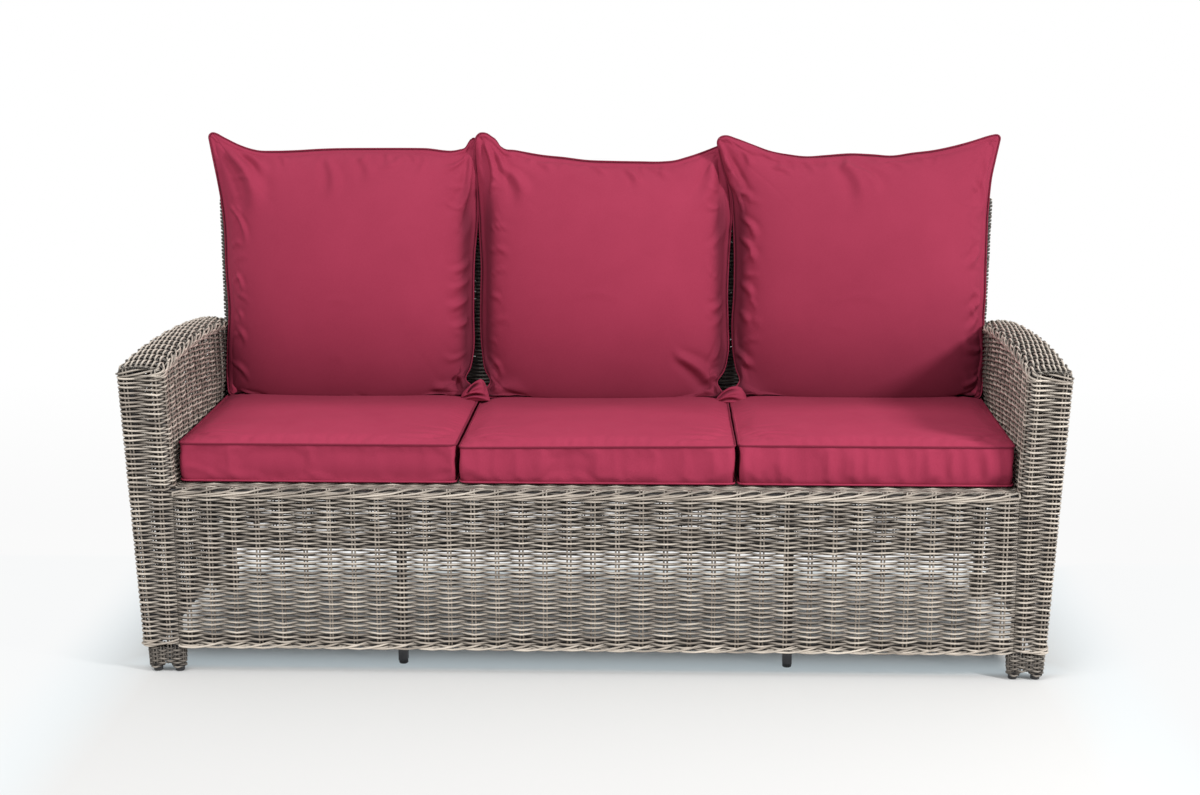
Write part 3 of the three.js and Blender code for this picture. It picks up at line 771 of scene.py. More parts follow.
def makeArm(side, name):
    faces = uprightFaces(side, armRun(weave["inset"]), armRowHeight, innerX)
    rows = np.arange(armWeave["sideRows"])
    start, end = armPhases["frontOuter"], armPhases["closing"]
    steps = phaseSteps(start, end, weave["step"], sum(extras.values(), ()))[:-1]
    seed = armWeave["seed"] + side
    seeds = {part: seed + step for part, step in armWeave["seedSteps"].items()}
    batches = [weaveRows(faces, steps, rows, seed, endless=True, firstRow=1, dim=besidePillow,
                         paintedLight=armWeave["paintedLight"][name])]
    stakes = np.arange(armWeave["stakes"]) + 1
    batches += weaveStakes(faces, stakes, np.linspace(*armWeave["stakeRows"]), seeds["stakes"])
    crest = armCrest(side)
    shares = (np.arange(armWeave["topRows"]) + 0.5) / armWeave["topRows"]
    steps = phaseSteps(*armWeave["topSpan"], weave["step"])
    batches.append(weaveRows(crest, steps, shares, seeds["top"], thickness=armWeave["topThickness"],
                             paintedLight=armWeave["topPaintedLight"],
                             swing=armWeave["topSwing"], fall=armWeave["topFall"]))
    stakes, heights = np.arange(armWeave["topStakes"]) + 1, np.linspace(0, 1, armWeave["topStakeRows"])
    batches += weaveStakes(crest, stakes, heights, seeds["topStakes"], shade=armWeave["topStakeShade"])
    place, pitches = armBorder(side)
    stakes = np.arange(armWeave["rollFirst"], pitches - armWeave["rollShort"])
    batches += rolledBorder(place, stakes, armWeave["rollSpan"], armWeave["roll"], seeds["roll"],
                            turn=1, radius=armWeave["rollRadius"])
    shares = np.linspace(*armWeave["rearPlaitShares"])
    points, normals, _ = crest(np.full(len(shares), armWeave["rearPlaitPhase"]), shares)
    normals = unit(normals + np.array([0, armWeave["rearPlaitTilt"], 0]))
    batches += plait(points, normals, seeds["rearPlait"], armWeave["rearPlait"])
    strandPiece(f"woven_arm_{name}", batches, f"arm_weave_{name}")

skirt = {
    "edgeGap": 0.0005,
    "firstHeight": 0.0625,
    "rows": 65,
    "lowStake": 0.060,
    "highStake": 0.4047,
    "stakeSteps": 8,
    "sideSeed": 60,
    "sideSeedSteps": {"stakes": 5, "roll": 9},
    "sideStakes": np.arange(-1, 15),
    "sideLowStakes": {"left": np.arange(0.5, 14), "right": np.arange(-1.5, 12)},
    # The last column of a roll is painted light, darker where the strand dives
    "lowRoll": [(0, 0.0700, -0.0020, 0.10), (0.10, 0.0665, 0.0020, 0.60), (0.22, 0.0640, 0.0045, 1.0),
                (0.42, 0.0628, 0.0050, 1.0), (0.60, 0.0650, 0.0050, 1.0), (0.80, 0.0705, 0.0048, 1.0),
                (0.92, 0.0745, 0.0025, 0.70), (1, 0.0765, -0.0020, 0.10)],
    "lowSpan": 2.3,
    "frontPitches": 35,
    "frontPhase": 1.5,
    "frontSeed": 91,
    "frontHighStake": 0.412,
    "frontDrop": 0.0050,
    "frontLowStart": 2.3,
    "frontLowEnd": 0.4,
    "frontTopStart": 2,
    "frontTopEnd": 3,
    # Painted shade: upperShade darkens the skirt's upper rows under the cushions
    "upperShade": 0.10,
    "upperStart": 0.26,
    "upperFade": 0.05,
    # Painted shade: the top border's light falls off towards the top, under the cushions
    "topRoll": [(0, 0.3915, -0.0020, 0.10), (0.08, 0.3922, 0.0025, 0.60), (0.22, 0.3940, 0.0042, 0.90),
                (0.42, 0.3972, 0.0048, 0.90), (0.60, 0.4010, 0.0046, 0.85), (0.70, 0.4050, 0.0025, 0.70),
                (0.80, 0.4088, -0.0015, 0.55), (0.88, 0.4102, -0.0050, 0.45), (0.95, 0.4085, -0.0085, 0.35),
                (1, 0.4050, -0.0110, 0.15)],
    "topSpan": 3.5,
    "rowSeed": 77,
}
rearSkirt = {
    "firstHeight": 0.1075,
    "rows": 56,
    "firstRow": 9,
    "phase": 0.4,
    "phases": 39.2,
    "sides": 4,
    "seed": 101,
    "stakes": 39,
    "lowStake": 0.105,
    "stakeSteps": 6,
    "ropeHeight": 0.109,
    "ropeReach": 0.001,
    "ropePlaces": 200,
    "rope": {"period": 0.205, "width": 0.0058, "depth": 0.0030, "strands": 5, "radius": 0.0022, "sides": 6,
             "step": 0.006, "leastSteps": 8, "jitter": 0.02},
}

def makeSideSkirt(side, name):
    inner = innerX(form["armBase"], 0)
    place = uprightFaces(side, skirtRun(weave["inset"]), lambda row, d: row, lambda z, d: inner)
    heights = skirt["firstHeight"] + weave["rowPitch"] * np.arange(skirt["rows"])
    steps = phaseSteps(armPhases["skirtStart"], armPhases["rearOuter"], weave["step"],
                       extras["outerCorner"] + extras["outerEnd"])
    seed = skirt["sideSeed"] + side
    batches = [weaveRows(place, steps, heights, seed, rowSeed=skirt["rowSeed"])]
    rows = np.linspace(skirt["lowStake"], skirt["highStake"], skirt["stakeSteps"])
    seedSteps = skirt["sideSeedSteps"]
    batches += weaveStakes(place, skirt["sideStakes"], rows, seed + seedSteps["stakes"])
    stakes = skirt["sideLowStakes"][name]
    batches += rolledBorder(place, stakes, skirt["lowSpan"], skirt["lowRoll"], seed + seedSteps["roll"],
                            turn=side)
    strandPiece(f"woven_side_skirt_{name}", batches, f"side_skirt_weave_{name}")

# Places on a skirt between two edges; facing is -1 in front and 1 behind
def panel(depth, firstPhase, edgeOf, pitchOf, facing):
    def place(phase, row):
        edge = edgeOf(row)
        x = np.clip(edge - (phase - firstPhase) * pitchOf(edge), -edge, edge)
        return toFrame(x, np.full_like(x, depth), row), flat(0, facing, 0, x), flat(-1, 0, 0, x)

    return place

# Painted shade: the upper part of the front skirt is darkened where the cushions shade it
def underCushions(points):
    return 1 - skirt["upperShade"] * smooth((points[..., 2] - skirt["upperStart"]) / skirt["upperFade"])

def makeFrontSkirt():
    first, last = skirt["frontPhase"], skirt["frontPhase"] + skirt["frontPitches"]
    half = form["seatHalf"] - skirt["edgeGap"]
    pitch = 2 * form["seatHalf"] / skirt["frontPitches"]
    place = panel(weave["inset"], first, lambda z: half + 0 * z, lambda edge: pitch, -1)
    heights = skirt["firstHeight"] + weave["rowPitch"] * np.arange(skirt["rows"])
    seed = skirt["frontSeed"]
    steps = phaseSteps(first, last, weave["step"])
    batches = [weaveRows(place, steps, heights, seed, rowSeed=skirt["rowSeed"], dim=underCushions)]
    rows = np.linspace(skirt["lowStake"], skirt["frontHighStake"], skirt["stakeSteps"])
    batches += weaveStakes(place, np.arange(first + 0.5, last), rows, seed + 1)
    lowered = [(share, height - skirt["frontDrop"], *rest) for share, height, *rest in skirt["lowRoll"]]
    stakes = np.arange(first + skirt["frontLowStart"], last + skirt["frontLowEnd"])
    batches += rolledBorder(place, stakes, skirt["lowSpan"], lowered, seed + 2)
    stakes = np.arange(first + skirt["frontTopStart"], last + skirt["frontTopEnd"])
    batches += rolledBorder(place, stakes, skirt["topSpan"], skirt["topRoll"], seed + 3)
    strandPiece("woven_front_skirt", batches, "front_skirt_weave")

def makeRearSkirt():
    first, phases, sides, seed = (rearSkirt[key] for key in ("phase", "phases", "sides", "seed"))
    place = panel(form["baseDepth"] - weave["inset"], first, lambda z: outerX(z) - form["endRadius"],
                  lambda edge: 2 * edge / phases, 1)
    heights = rearSkirt["firstHeight"] + weave["rowPitch"] * np.arange(rearSkirt["rows"])
    steps = phaseSteps(first, first + phases, weave["step"])
    batches = [weaveRows(place, steps, heights, seed, firstRow=rearSkirt["firstRow"], sides=sides)]
    rows = np.linspace(rearSkirt["lowStake"], skirt["highStake"], rearSkirt["stakeSteps"])
    batches += weaveStakes(place, np.arange(rearSkirt["stakes"]) + 1, rows, seed + 1, sides=sides)
    along = np.linspace(first, first + phases, rearSkirt["ropePlaces"])
    points, normals, _ = place(along, np.full_like(along, rearSkirt["ropeHeight"]))
    batches += rope(points + normals * rearSkirt["ropeReach"], normals, seed + 2, rearSkirt["rope"])
    strandPiece("woven_rear_skirt", batches, "rear_skirt_weave")

backWeave = {
    "seeds": {"front": 120, "rear": 130},
    "low": {"front": 0.4150, "rear": 0.4075},
    "high": 0.9640,
    "rowRise": 0.0043,
    "steps": {"front": 1 / 3, "rear": 0.25},
    # Painted shade: the back's front face, behind the pillows, is painted dark
    "shade": {"front": 0.22, "rear": 1.0},
    "thickness": {"front": 0.0034, "rear": 0.0026},
    "sides": 4,
    "sidePhase": 0.5,
    "facePhases": 37,
    "edgeSteps": (0.12, 0.25, 0.38, 0.5),
    "stakeDrop": 0.002,
    "stakeHeights": (0.55, 0.7, 0.85, 0.965),
    "plaitDrop": 0.0065,
    "plaitInset": 0.012,
    "plaitPlaces": 220,
    "plaitShifts": (-0.0085, 0.0085),
    "plaitTilt": 0.34,
    "topPlait": {"width": 0.0070, "depth": 0.0040, "period": 0.055, "radius": 0.0026, "strands": 3,
                 "sides": 5, "stepsPerPeriod": 8, "leastSteps": 4},
}

# Half of the back's section, front or rear, from the middle of one edge to the other
def backFace(rear):
    corner = form["cornerRadius"]
    inset = weave["inset"]
    radius = corner - inset
    half = form["backThickness"] / 2
    flatRun = half - corner
    bend = radius * quarter
    edgeRun = flatRun + bend
    facing = 1 if rear else -1
    lean = form["backLean"]
    side, faces = backWeave["sidePhase"], backWeave["facePhases"]

    def place(phase, z):
        reach = backHalf(z)
        straight = 2 * (reach - corner)
        fromLeft = np.minimum(phase, side) / side * edgeRun
        fromRight = np.minimum(2 * side + faces - phase, side) / side * edgeRun
        edge = np.minimum(fromLeft, fromRight)
        mirror = np.where(fromLeft < fromRight, -1, 1)
        angle = np.clip((edge - flatRun) / radius, 0, quarter)
        onFace = np.clip((phase - side) / faces, 0, 1)
        flatX = -(reach - corner) + straight * onFace
        onEdge = edge < edgeRun - tiny
        x = np.where(onEdge, mirror * (reach - corner + radius * np.cos(angle)), flatX)
        across = np.where(onEdge, np.minimum(edge, flatRun) + radius * np.sin(angle), flatRun + radius)
        middle = backFront(z) + half
        nx = np.where(onEdge, mirror * np.cos(angle), 0)
        nd = facing * np.where(onEdge, np.sin(angle), 1)
        leaning = np.where(z > form["deckTop"], math.sin(lean), 0)
        normal = unit(np.stack([nx, nd * np.cos(lean), -nd * leaning], axis=-1))
        alongX = np.where(onEdge, -mirror * np.sin(angle), 1)
        alongD = np.where(onEdge, facing * np.cos(angle), 0)
        along = unit(np.stack([alongX, alongD, 0 * x], axis=-1))
        return toFrame(x, middle + facing * across, z), normal, along

    return place

def makeBack():
    total = 2 * backWeave["sidePhase"] + backWeave["facePhases"]
    edges = backWeave["edgeSteps"]
    edges += tuple(total - value for value in edges)
    for rear, label in enumerate(("front", "rear")):
        seed, low, step, shade, thickness = (
            backWeave[key][label] for key in ("seeds", "low", "steps", "shade", "thickness"))
        place = backFace(rear)
        heights = np.arange(low, backWeave["high"], backWeave["rowRise"])
        steps = phaseSteps(0, total, step, edges)
        batches = [weaveRows(place, steps, heights, seed, sides=backWeave["sides"], firstRow=rear,
                             shade=shade, thickness=thickness)]
        stakes = np.arange(1, total) if rear else np.arange(0, total + 1)
        rows = np.array([low - backWeave["stakeDrop"], *backWeave["stakeHeights"]])
        batches += weaveStakes(place, stakes, rows, seed + 3, sides=backWeave["sides"], shade=shade)
        if rear:
            batches += backTopPlaits(seed + 5)
        strandPiece(f"woven_back_{label}", batches, "back_weave")

def backTopPlaits(seed):
    top = form["backTop"] - backWeave["plaitDrop"]
    reach = backHalf(top) - backWeave["plaitInset"]
    x = np.linspace(-reach, reach, backWeave["plaitPlaces"])
    middle = backFront(top) + form["backThickness"] / 2
    batches = []
    for index, shift in enumerate(backWeave["plaitShifts"]):
        points = toFrame(x, np.full_like(x, middle + shift), np.full_like(x, top))
        tilt = math.copysign(backWeave["plaitTilt"], shift)
        batches += plait(points, flat(0, tilt, 1, x), seed + index, backWeave["topPlait"])
    return batches

deckWeave = {
    "height": 0.4069,
    "rowPitch": 0.0072,
    "rows": (0.0110, 0.6190),
    "swing": 0.0027,
    "stakePitch": 0.048,
    "stakes": 18,
    "stakeRows": (0.009, 0.621, 4),
    "edgeGap": 0.003,
    "reach": 18.9,
    "step": 0.5,
    "sides": 4,
    "seed": 141,
}

def makeDeck():
    def place(phase, row):
        reach = innerX(form["armBase"], row) - deckWeave["edgeGap"]
        x = np.clip(phase * deckWeave["stakePitch"], -reach, reach)
        return toFrame(x, row, np.full_like(x, deckWeave["height"])), flat(0, 0, 1, x), flat(1, 0, 0, x)

    reach, stakes, sides, seed = (deckWeave[key] for key in ("reach", "stakes", "sides", "seed"))
    rows = np.arange(*deckWeave["rows"], deckWeave["rowPitch"])
    steps = phaseSteps(-reach, reach, deckWeave["step"])
    batches = [weaveRows(place, steps, rows, seed, sides=sides, swing=deckWeave["swing"])]
    heights = np.linspace(*deckWeave["stakeRows"])
    batches += weaveStakes(place, np.arange(-stakes, stakes + 1), heights, seed + 1, sides=sides)
    strandPiece("woven_deck", batches, "seat_deck_weave")

footWeave = {
    "seed": 160,
    "inset": 0.0022,
    "corner": 0.006,
    "cornerSteps": 3,
    "rows": 10,
    "firstRow": 0.0026,
    "rowPitch": 0.0047,
    "swing": 0.0015,
    "taper": 0.003,
    "notchRows": 2,
    "tubeHalf": 0.0153,
    "pitches": 12,
    "stakeDrop": 0.002,
    "stakeSteps": 4,
    "stakeSides": 4,
    # Painted shade: the foot wraps under the sofa are painted darker
    "shade": 0.46,
}

def makeFootWrap(name):
    low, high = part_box(name)
    inset, corner, shade, swing = (footWeave[key] for key in ("inset", "corner", "shade", "swing"))
    depthHalf = (high.y - low.y) / 2 - inset
    middleY = (high.y + low.y) / 2

    def loopPlaces(startX, endX, pitches):
        half, centre = (endX - startX) / 2, (endX + startX) / 2
        places = []
        for turn, (cx, cy) in enumerate(((1, 1), (-1, 1), (-1, -1), (1, -1))):
            start = turn * quarter
            places += arcPlaces(centre + cx * (half - corner), cy * (depthHalf - corner), corner, start,
                                start + quarter, footWeave["cornerSteps"])
        places.append(places[0])
        run = Run(places, [(0, 0), (len(places) - 1, pitches)])

        def place(phase, z):
            x, y, nx, ny = run.at(phase)
            squeeze = footWeave["taper"] * (1 - np.clip(z / high.z, 0, 1))
            x = x - squeeze * (x - centre) / half
            points = np.stack([x, y + middleY, z], axis=-1)
            return points, np.stack([nx, ny, 0 * nx], axis=-1), np.stack([-ny, nx, 0 * nx], axis=-1)

        return place

    seed = footWeave["seed"] + int(abs(low.x) * 10) + int(low.y > 0) * 7 + int(low.x > 0) * 3
    rows = low.z + footWeave["firstRow"] + footWeave["rowPitch"] * np.arange(footWeave["rows"])
    pitches, split, width = footWeave["pitches"], footWeave["notchRows"], 2 * footWeave["tubeHalf"]
    outer = loopPlaces(low.x + inset, high.x - inset, pitches)
    phases = np.arange(0, pitches, weave["step"])
    batches = [weaveRows(outer, phases, rows[split:], seed, endless=True, swing=swing, shade=shade)]
    for startX, endX in ((low.x + inset, low.x + width), (high.x - width, high.x - inset)):
        single = loopPlaces(startX, endX, pitches // 2)
        batches.append(weaveRows(single, np.arange(0, pitches // 2, weave["step"]), rows[:split], seed + 1,
                                 endless=True, swing=swing, shade=shade))
    heights = np.linspace(rows[split] - footWeave["stakeDrop"], high.z, footWeave["stakeSteps"])
    batches += weaveStakes(outer, np.arange(0, pitches), heights, seed + 2, sides=footWeave["stakeSides"],
                           shade=shade)
    strandPiece(f"woven_{name}", batches, name)

for side, name in ((-1, "left"), (1, "right")):
    makeArm(side, name)
    makeSideSkirt(side, name)
    for end in ("front", "rear"):
        makeFootWrap(f"{end}_foot_wrap_{name}")
makeFrontSkirt()
makeRearSkirt()
makeBack()
makeDeck()
print("weave done")

# Loose cushions
fabricLook = {
    "base": (0.345, 0.0345, 0.0760),
    "shade": (0.300, 0.0280, 0.0640),
    "bloom": (0.430, 0.0600, 0.1150),
    "bloomShare": 0.35,
    "piping": 0.55,
    "dust": (0.55, 0.45, 0.46),
    "veil": {"Amount": 0.006, "Scale": 24.0},
    "deep": (0.010, 0.004, 0.006),
    "patch": {"Shift": 7.0, "Scale": 7.0, "Detail": 5.0, "Low": 0.3, "High": 0.75},
    "fleck": {"Shift": 2.0, "Scale": 420.0, "Detail": 2.0, "Low": 0.25, "High": 0.75},
    "threads": 900.0,
    "threadHeight": 0.4,
    "bump": {"Strength": 0.25, "Distance": 0.0004},
    "roughness": 0.85,
    "roughnessSpread": (0.74, 0.90),
    "surface": {"Sheen_Weight": 0.03, "Sheen_Roughness": 0.4, "Sheen_Tint": (0.9, 0.35, 0.45, 1),
                "Specular_IOR_Level": 0.08},
}

def fabricMaterial(name, depth=1.0):
    look = fabricLook
    material, tree, shader = newMaterial(name, look["roughness"], **look["surface"])
    place = addNode(tree, "ShaderNodeTexCoord").outputs["Object"]
    patch = useGroup(tree, mottle, Vector=place, **look["patch"])
    fleck = useGroup(tree, mottle, Vector=place, **look["fleck"])
    shade, base, bloom = (tuple(depth * value for value in look[key]) for key in ("shade", "base", "bloom"))
    tinted = blendColours(tree, patch, shade, base)
    flecked = blendColours(tree, mathNode(tree, "MULTIPLY", fleck, look["bloomShare"]), tinted, bloom)
    dusted = blendColours(tree, useGroup(tree, dust, **look["veil"]), flecked, look["dust"])
    # Painted shade: an attribute mask darkens the fabric towards the deep colour
    paintedShade = addNode(tree, "ShaderNodeAttribute", attribute_name="paintedShade")
    colour = blendColours(tree, paintedShade.outputs["Fac"], dusted, look["deep"])
    tree.links.new(colour, shader.inputs["Base Color"])
    tree.links.new(spreadOf(tree, fleck, 0, 1, *look["roughnessSpread"]), shader.inputs["Roughness"])
    split = addNode(tree, "ShaderNodeSeparateXYZ")
    tree.links.new(place, split.inputs[0])
    rise = mathNode(tree, "ADD", split.outputs[1], split.outputs[2])
    warp, weft = (mathNode(tree, "SINE", mathNode(tree, "MULTIPLY", value, look["threads"] * 2 * math.pi))
                  for value in (split.outputs[0], rise))
    threads = mathNode(tree, "MULTIPLY", warp, weft)
    height = mathNode(tree, "MULTIPLY_ADD", threads, look["threadHeight"], fleck)
    bump = addNode(tree, "ShaderNodeBump", look["bump"])
    tree.links.new(height, bump.inputs["Height"])
    tree.links.new(bump.outputs[0], shader.inputs["Normal"])
    return material

canvas = fabricMaterial("wovenCanvas")
# Painted shade: the piping gets a darker copy of the fabric, as its edge turns away from the light
shadedPipingCanvas = fabricMaterial("shadedPipingCanvas", fabricLook["piping"])

def meshObject(name, points, faces, material):
    mesh = bpy.data.meshes.new(name)
    mesh.from_pydata(np.asarray(points).tolist(), [], [list(map(int, face)) for face in faces])
    mesh.polygons.foreach_set("use_smooth", np.ones(len(mesh.polygons), bool))
    mesh.materials.append(material)
    mesh.update()
    piece = bpy.data.objects.new(name, mesh)
    scene.collection.objects.link(piece)
    return piece

def coordinates(mesh):
    flatList = np.empty(len(mesh.vertices) * 3)
    mesh.vertices.foreach_get("co", flatList)
    return flatList.reshape(-1, 3)

clothSetup = {
    "frames": 20,
    "cloth": {
        "quality": 5, "mass": 0.25, "tension_stiffness": 18.0, "compression_stiffness": 18.0,
        "shear_stiffness": 6.0, "bending_stiffness": 0.35, "use_pressure": True,
        "uniform_pressure_force": 4.0, "vertex_group_mass": "seam",
    },
}

# Swells the piece with its seams held, and gives back its points, moved no further than the cap
def inflate(piece, held, cap, excess):
    start = coordinates(piece.data)
    piece.vertex_groups.new(name="seam").add([int(index) for index in held], 1.0, "REPLACE")
    cloth = piece.modifiers.new("cloth", "CLOTH")
    for key, value in clothSetup["cloth"].items():
        setattr(cloth.settings, key, value)
    cloth.settings.shrink_min = -excess
    cloth.settings.effector_weights.gravity = 0
    cloth.collision_settings.use_collision = False
    cloth.point_cache.frame_start = 1
    cloth.point_cache.frame_end = clothSetup["frames"]
    for number in range(1, clothSetup["frames"] + 1):
        scene.frame_set(number)
    graph = bpy.context.evaluated_depsgraph_get()
    swollen = coordinates(piece.evaluated_get(graph).data)
    piece.modifiers.remove(cloth)
    scene.frame_set(1)
    move = swollen - start
    size = np.linalg.norm(move, axis=1, keepdims=True)
    return start + move * np.minimum(1, cap / np.maximum(size, tiny))

# Keeps each seam a sharp line when the piece is smoothed
def holdSeams(piece, loops):
    ends = np.empty(len(piece.data.edges) * 2, int)
    piece.data.edges.foreach_get("vertices", ends)
    ends = np.sort(ends.reshape(-1, 2), axis=1)
    keys = ends[:, 0] * len(piece.data.vertices) + ends[:, 1]
    sharp = np.zeros(len(ends), bool)
    for loop in loops:
        pairs = np.sort(np.stack([loop, np.roll(loop, -1)], axis=1), axis=1)
        sharp |= np.isin(keys, pairs[:, 0] * len(piece.data.vertices) + pairs[:, 1])
    piece.data.attributes.new("crease_edge", "FLOAT", "EDGE").data.foreach_set("value", sharp.astype(float))

# Painted shade: the mask is 1 where light hardly comes, and 0 in the open
def markPaintedShade(piece, paintedShade):
    layer = piece.data.attributes.new("paintedShade", "FLOAT", "POINT")
    layer.data.foreach_set("value", np.clip(paintedShade, 0, 1).ravel())

def finishPad(piece, body, node=None):
    softness = piece.modifiers.new("softness", "SUBSURF")
    softness.levels = softness.render_levels = 1
    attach(piece, body)
    if node:
        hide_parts(node)
    print(piece.name, "done")

def setPoints(piece, points):
    piece.data.vertices.foreach_set("co", np.asarray(points, float).ravel())
    piece.data.update()

pipingShape = {"radius": 0.0021, "sides": 8}

def piping(name, points, outward, body, material=shadedPipingCanvas):
    radius, sides = pipingShape["radius"], pipingShape["sides"]
    ring, faces, *_ = strandBatch(points[None], outward[None], radius, sides, [0.5], endless=True)
    piece = meshObject(name, ring, faces, material)
    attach(piece, body)

# Places on the edge of a rounded rectangle reached from the edge of a square
def roundedPlan(s, t, halfX, halfY, radius):
    level = np.maximum(np.maximum(np.abs(s), np.abs(t)), tiny)
    x, y = s / level * halfX, t / level * halfY
    cornerX, cornerY = np.sign(x) * (halfX - radius), np.sign(y) * (halfY - radius)
    inCorner = (np.abs(x) > halfX - radius) & (np.abs(y) > halfY - radius)
    reachX, reachY = x - cornerX, y - cornerY
    length = np.maximum(np.hypot(reachX, reachY), tiny)
    x = np.where(inCorner, cornerX + radius * reachX / length, x)
    y = np.where(inCorner, cornerY + radius * reachY / length, y)
    return x * level, y * level

def gridFaces(index):
    quads = np.stack([index[:-1, :-1], index[1:, :-1], index[1:, 1:], index[:-1, 1:]], axis=-1)
    return quads.reshape(-1, 4)

def edgeLoop(index):
    return np.concatenate([index[:-1, 0], index[-1, :-1], index[:0:-1, -1], index[0, :0:-1]])

# Sizes of a seat cushion; drop, tilt and wrinkle hold a value for each of the three
seat = {
    "seed": 300,
    "low": 0.4123,
    "clear": 0.0005,
    "edge": 0.5023,
    "front": 0.045,
    "rear": 0.620,
    "slot": 0.595333,
    "gap": 0.002,
    "seamShift": 0.006,
    "drop": (0.0060, 0.0080, 0.0032),
    "tilt": (0.0, 0.0030, 0.0),
    "wrinkle": (0.0004, 0.0010, 0.0020),
    "corner": 0.014,
    "cornerEase": 0.3,
    "seamInset": 0.003,
    "lowInset": 0.006,
    "sideDraw": 0.001,
    "frontDrawShare": 0.6,
    "crown": {"height": 0.014, "reach": 0.19, "middleShare": 0.25, "edgeHeight": 0.0035, "edgeReach": 0.008,
              "pressed": 0.85, "pressedFrom": -0.1, "pressedReach": 0.8},
    "cells": 76,
    "bandRows": 10,
    "bandRoundness": 0.7,
    "frontLine": -0.99,
    "cap": 0.006,
    "excess": 0.012,
    "fill": 0.8,
    "pucker": 0.0020,
    "puckerReach": 0.030,
    "frontPuckers": {"from": 0.08, "spacing": 0.070},
    "sidePuckers": {"from": 0.06, "to": 0.1, "spacing": 0.060},
    "foldScale": 1.8,
    "foldFade": 0.04,
    # Painted shade: the top darkens towards the pillow, and the band a little all round
    "rearShade": 0.30,
    "rearShadeReach": 0.9,
    "bandShade": 0.03,
    "folds": [
        (0.020, 0.085, 0.120, 0.066, 0.006, 0.0016), (0.016, 0.105, 0.150, 0.092, 0.007, 0.0018),
        (0.014, 0.130, 0.120, 0.125, 0.008, 0.0014), (0.040, 0.062, 0.060, 0.120, 0.006, 0.0010),
        (0.012, 0.170, 0.110, 0.180, 0.009, 0.0012),
    ],
    "piping": {
        "top": {"rise": 0.0005, "reach": 0.0014, "material": shadedPipingCanvas},
        "low": {"rise": 0.0034, "reach": 0.0048, "material": canvas},
    },
    "pipingWander": 0.00008,
    "pipingSpan": 4,
}

def seatSpan(slot):
    low = (slot - 0.5) * seat["slot"] + seat["gap"] / 2 + (seat["seamShift"] if slot > -1 else 0)
    high = (slot + 0.5) * seat["slot"] - seat["gap"] / 2 + (seat["seamShift"] if slot < 1 else 0)
    return low, high

# Height of a cushion's upper seam; the three have settled by different amounts
def seamHeight(slot, x):
    low, high = seatSpan(slot)
    slope = seat["tilt"][slot + 1] * (2 * x - low - high)
    return seat["edge"] - seat["drop"][slot + 1] + slope / (high - low)

# How far the top of a cushion stands above its seam: round at the edge, pressed down under the pillow
def seatCrown(s, t, reach):
    crown = seat["crown"]
    inset = (1 - np.maximum(np.abs(s), np.abs(t))) * reach
    roll = 1 - (1 - np.clip(inset / crown["reach"], 0, 1)) ** 2
    edgeRoll = crown["edgeHeight"] * (1 - np.exp(-inset / crown["edgeReach"]))
    pressed = 1 - crown["pressed"] * smooth((t - crown["pressedFrom"]) / crown["pressedReach"])
    middle = crown["middleShare"]
    domed = 1 - middle + middle * (1 - s ** 2) * (1 - t ** 2)
    return crown["height"] * roll * domed * pressed + edgeRoll

# Small creases that run in from the front seam and both side seams
def seatPuckers(random, low, high):
    front, rear = seat["front"], seat["rear"]
    depth, reach = seat["pucker"], seat["puckerReach"]
    inFront, aside = seat["frontPuckers"], seat["sidePuckers"]
    ends = (low + inFront["from"], front), (high - inFront["from"], front)
    folds = seamPuckers(random, ends, (0, 1), inFront["spacing"], reach, depth)
    for x, inward in ((low, 1), (high, -1)):
        ends = (x, front + aside["from"]), (x, rear - aside["to"])
        folds += seamPuckers(random, ends, (inward, 0), aside["spacing"], reach, depth)
    return folds

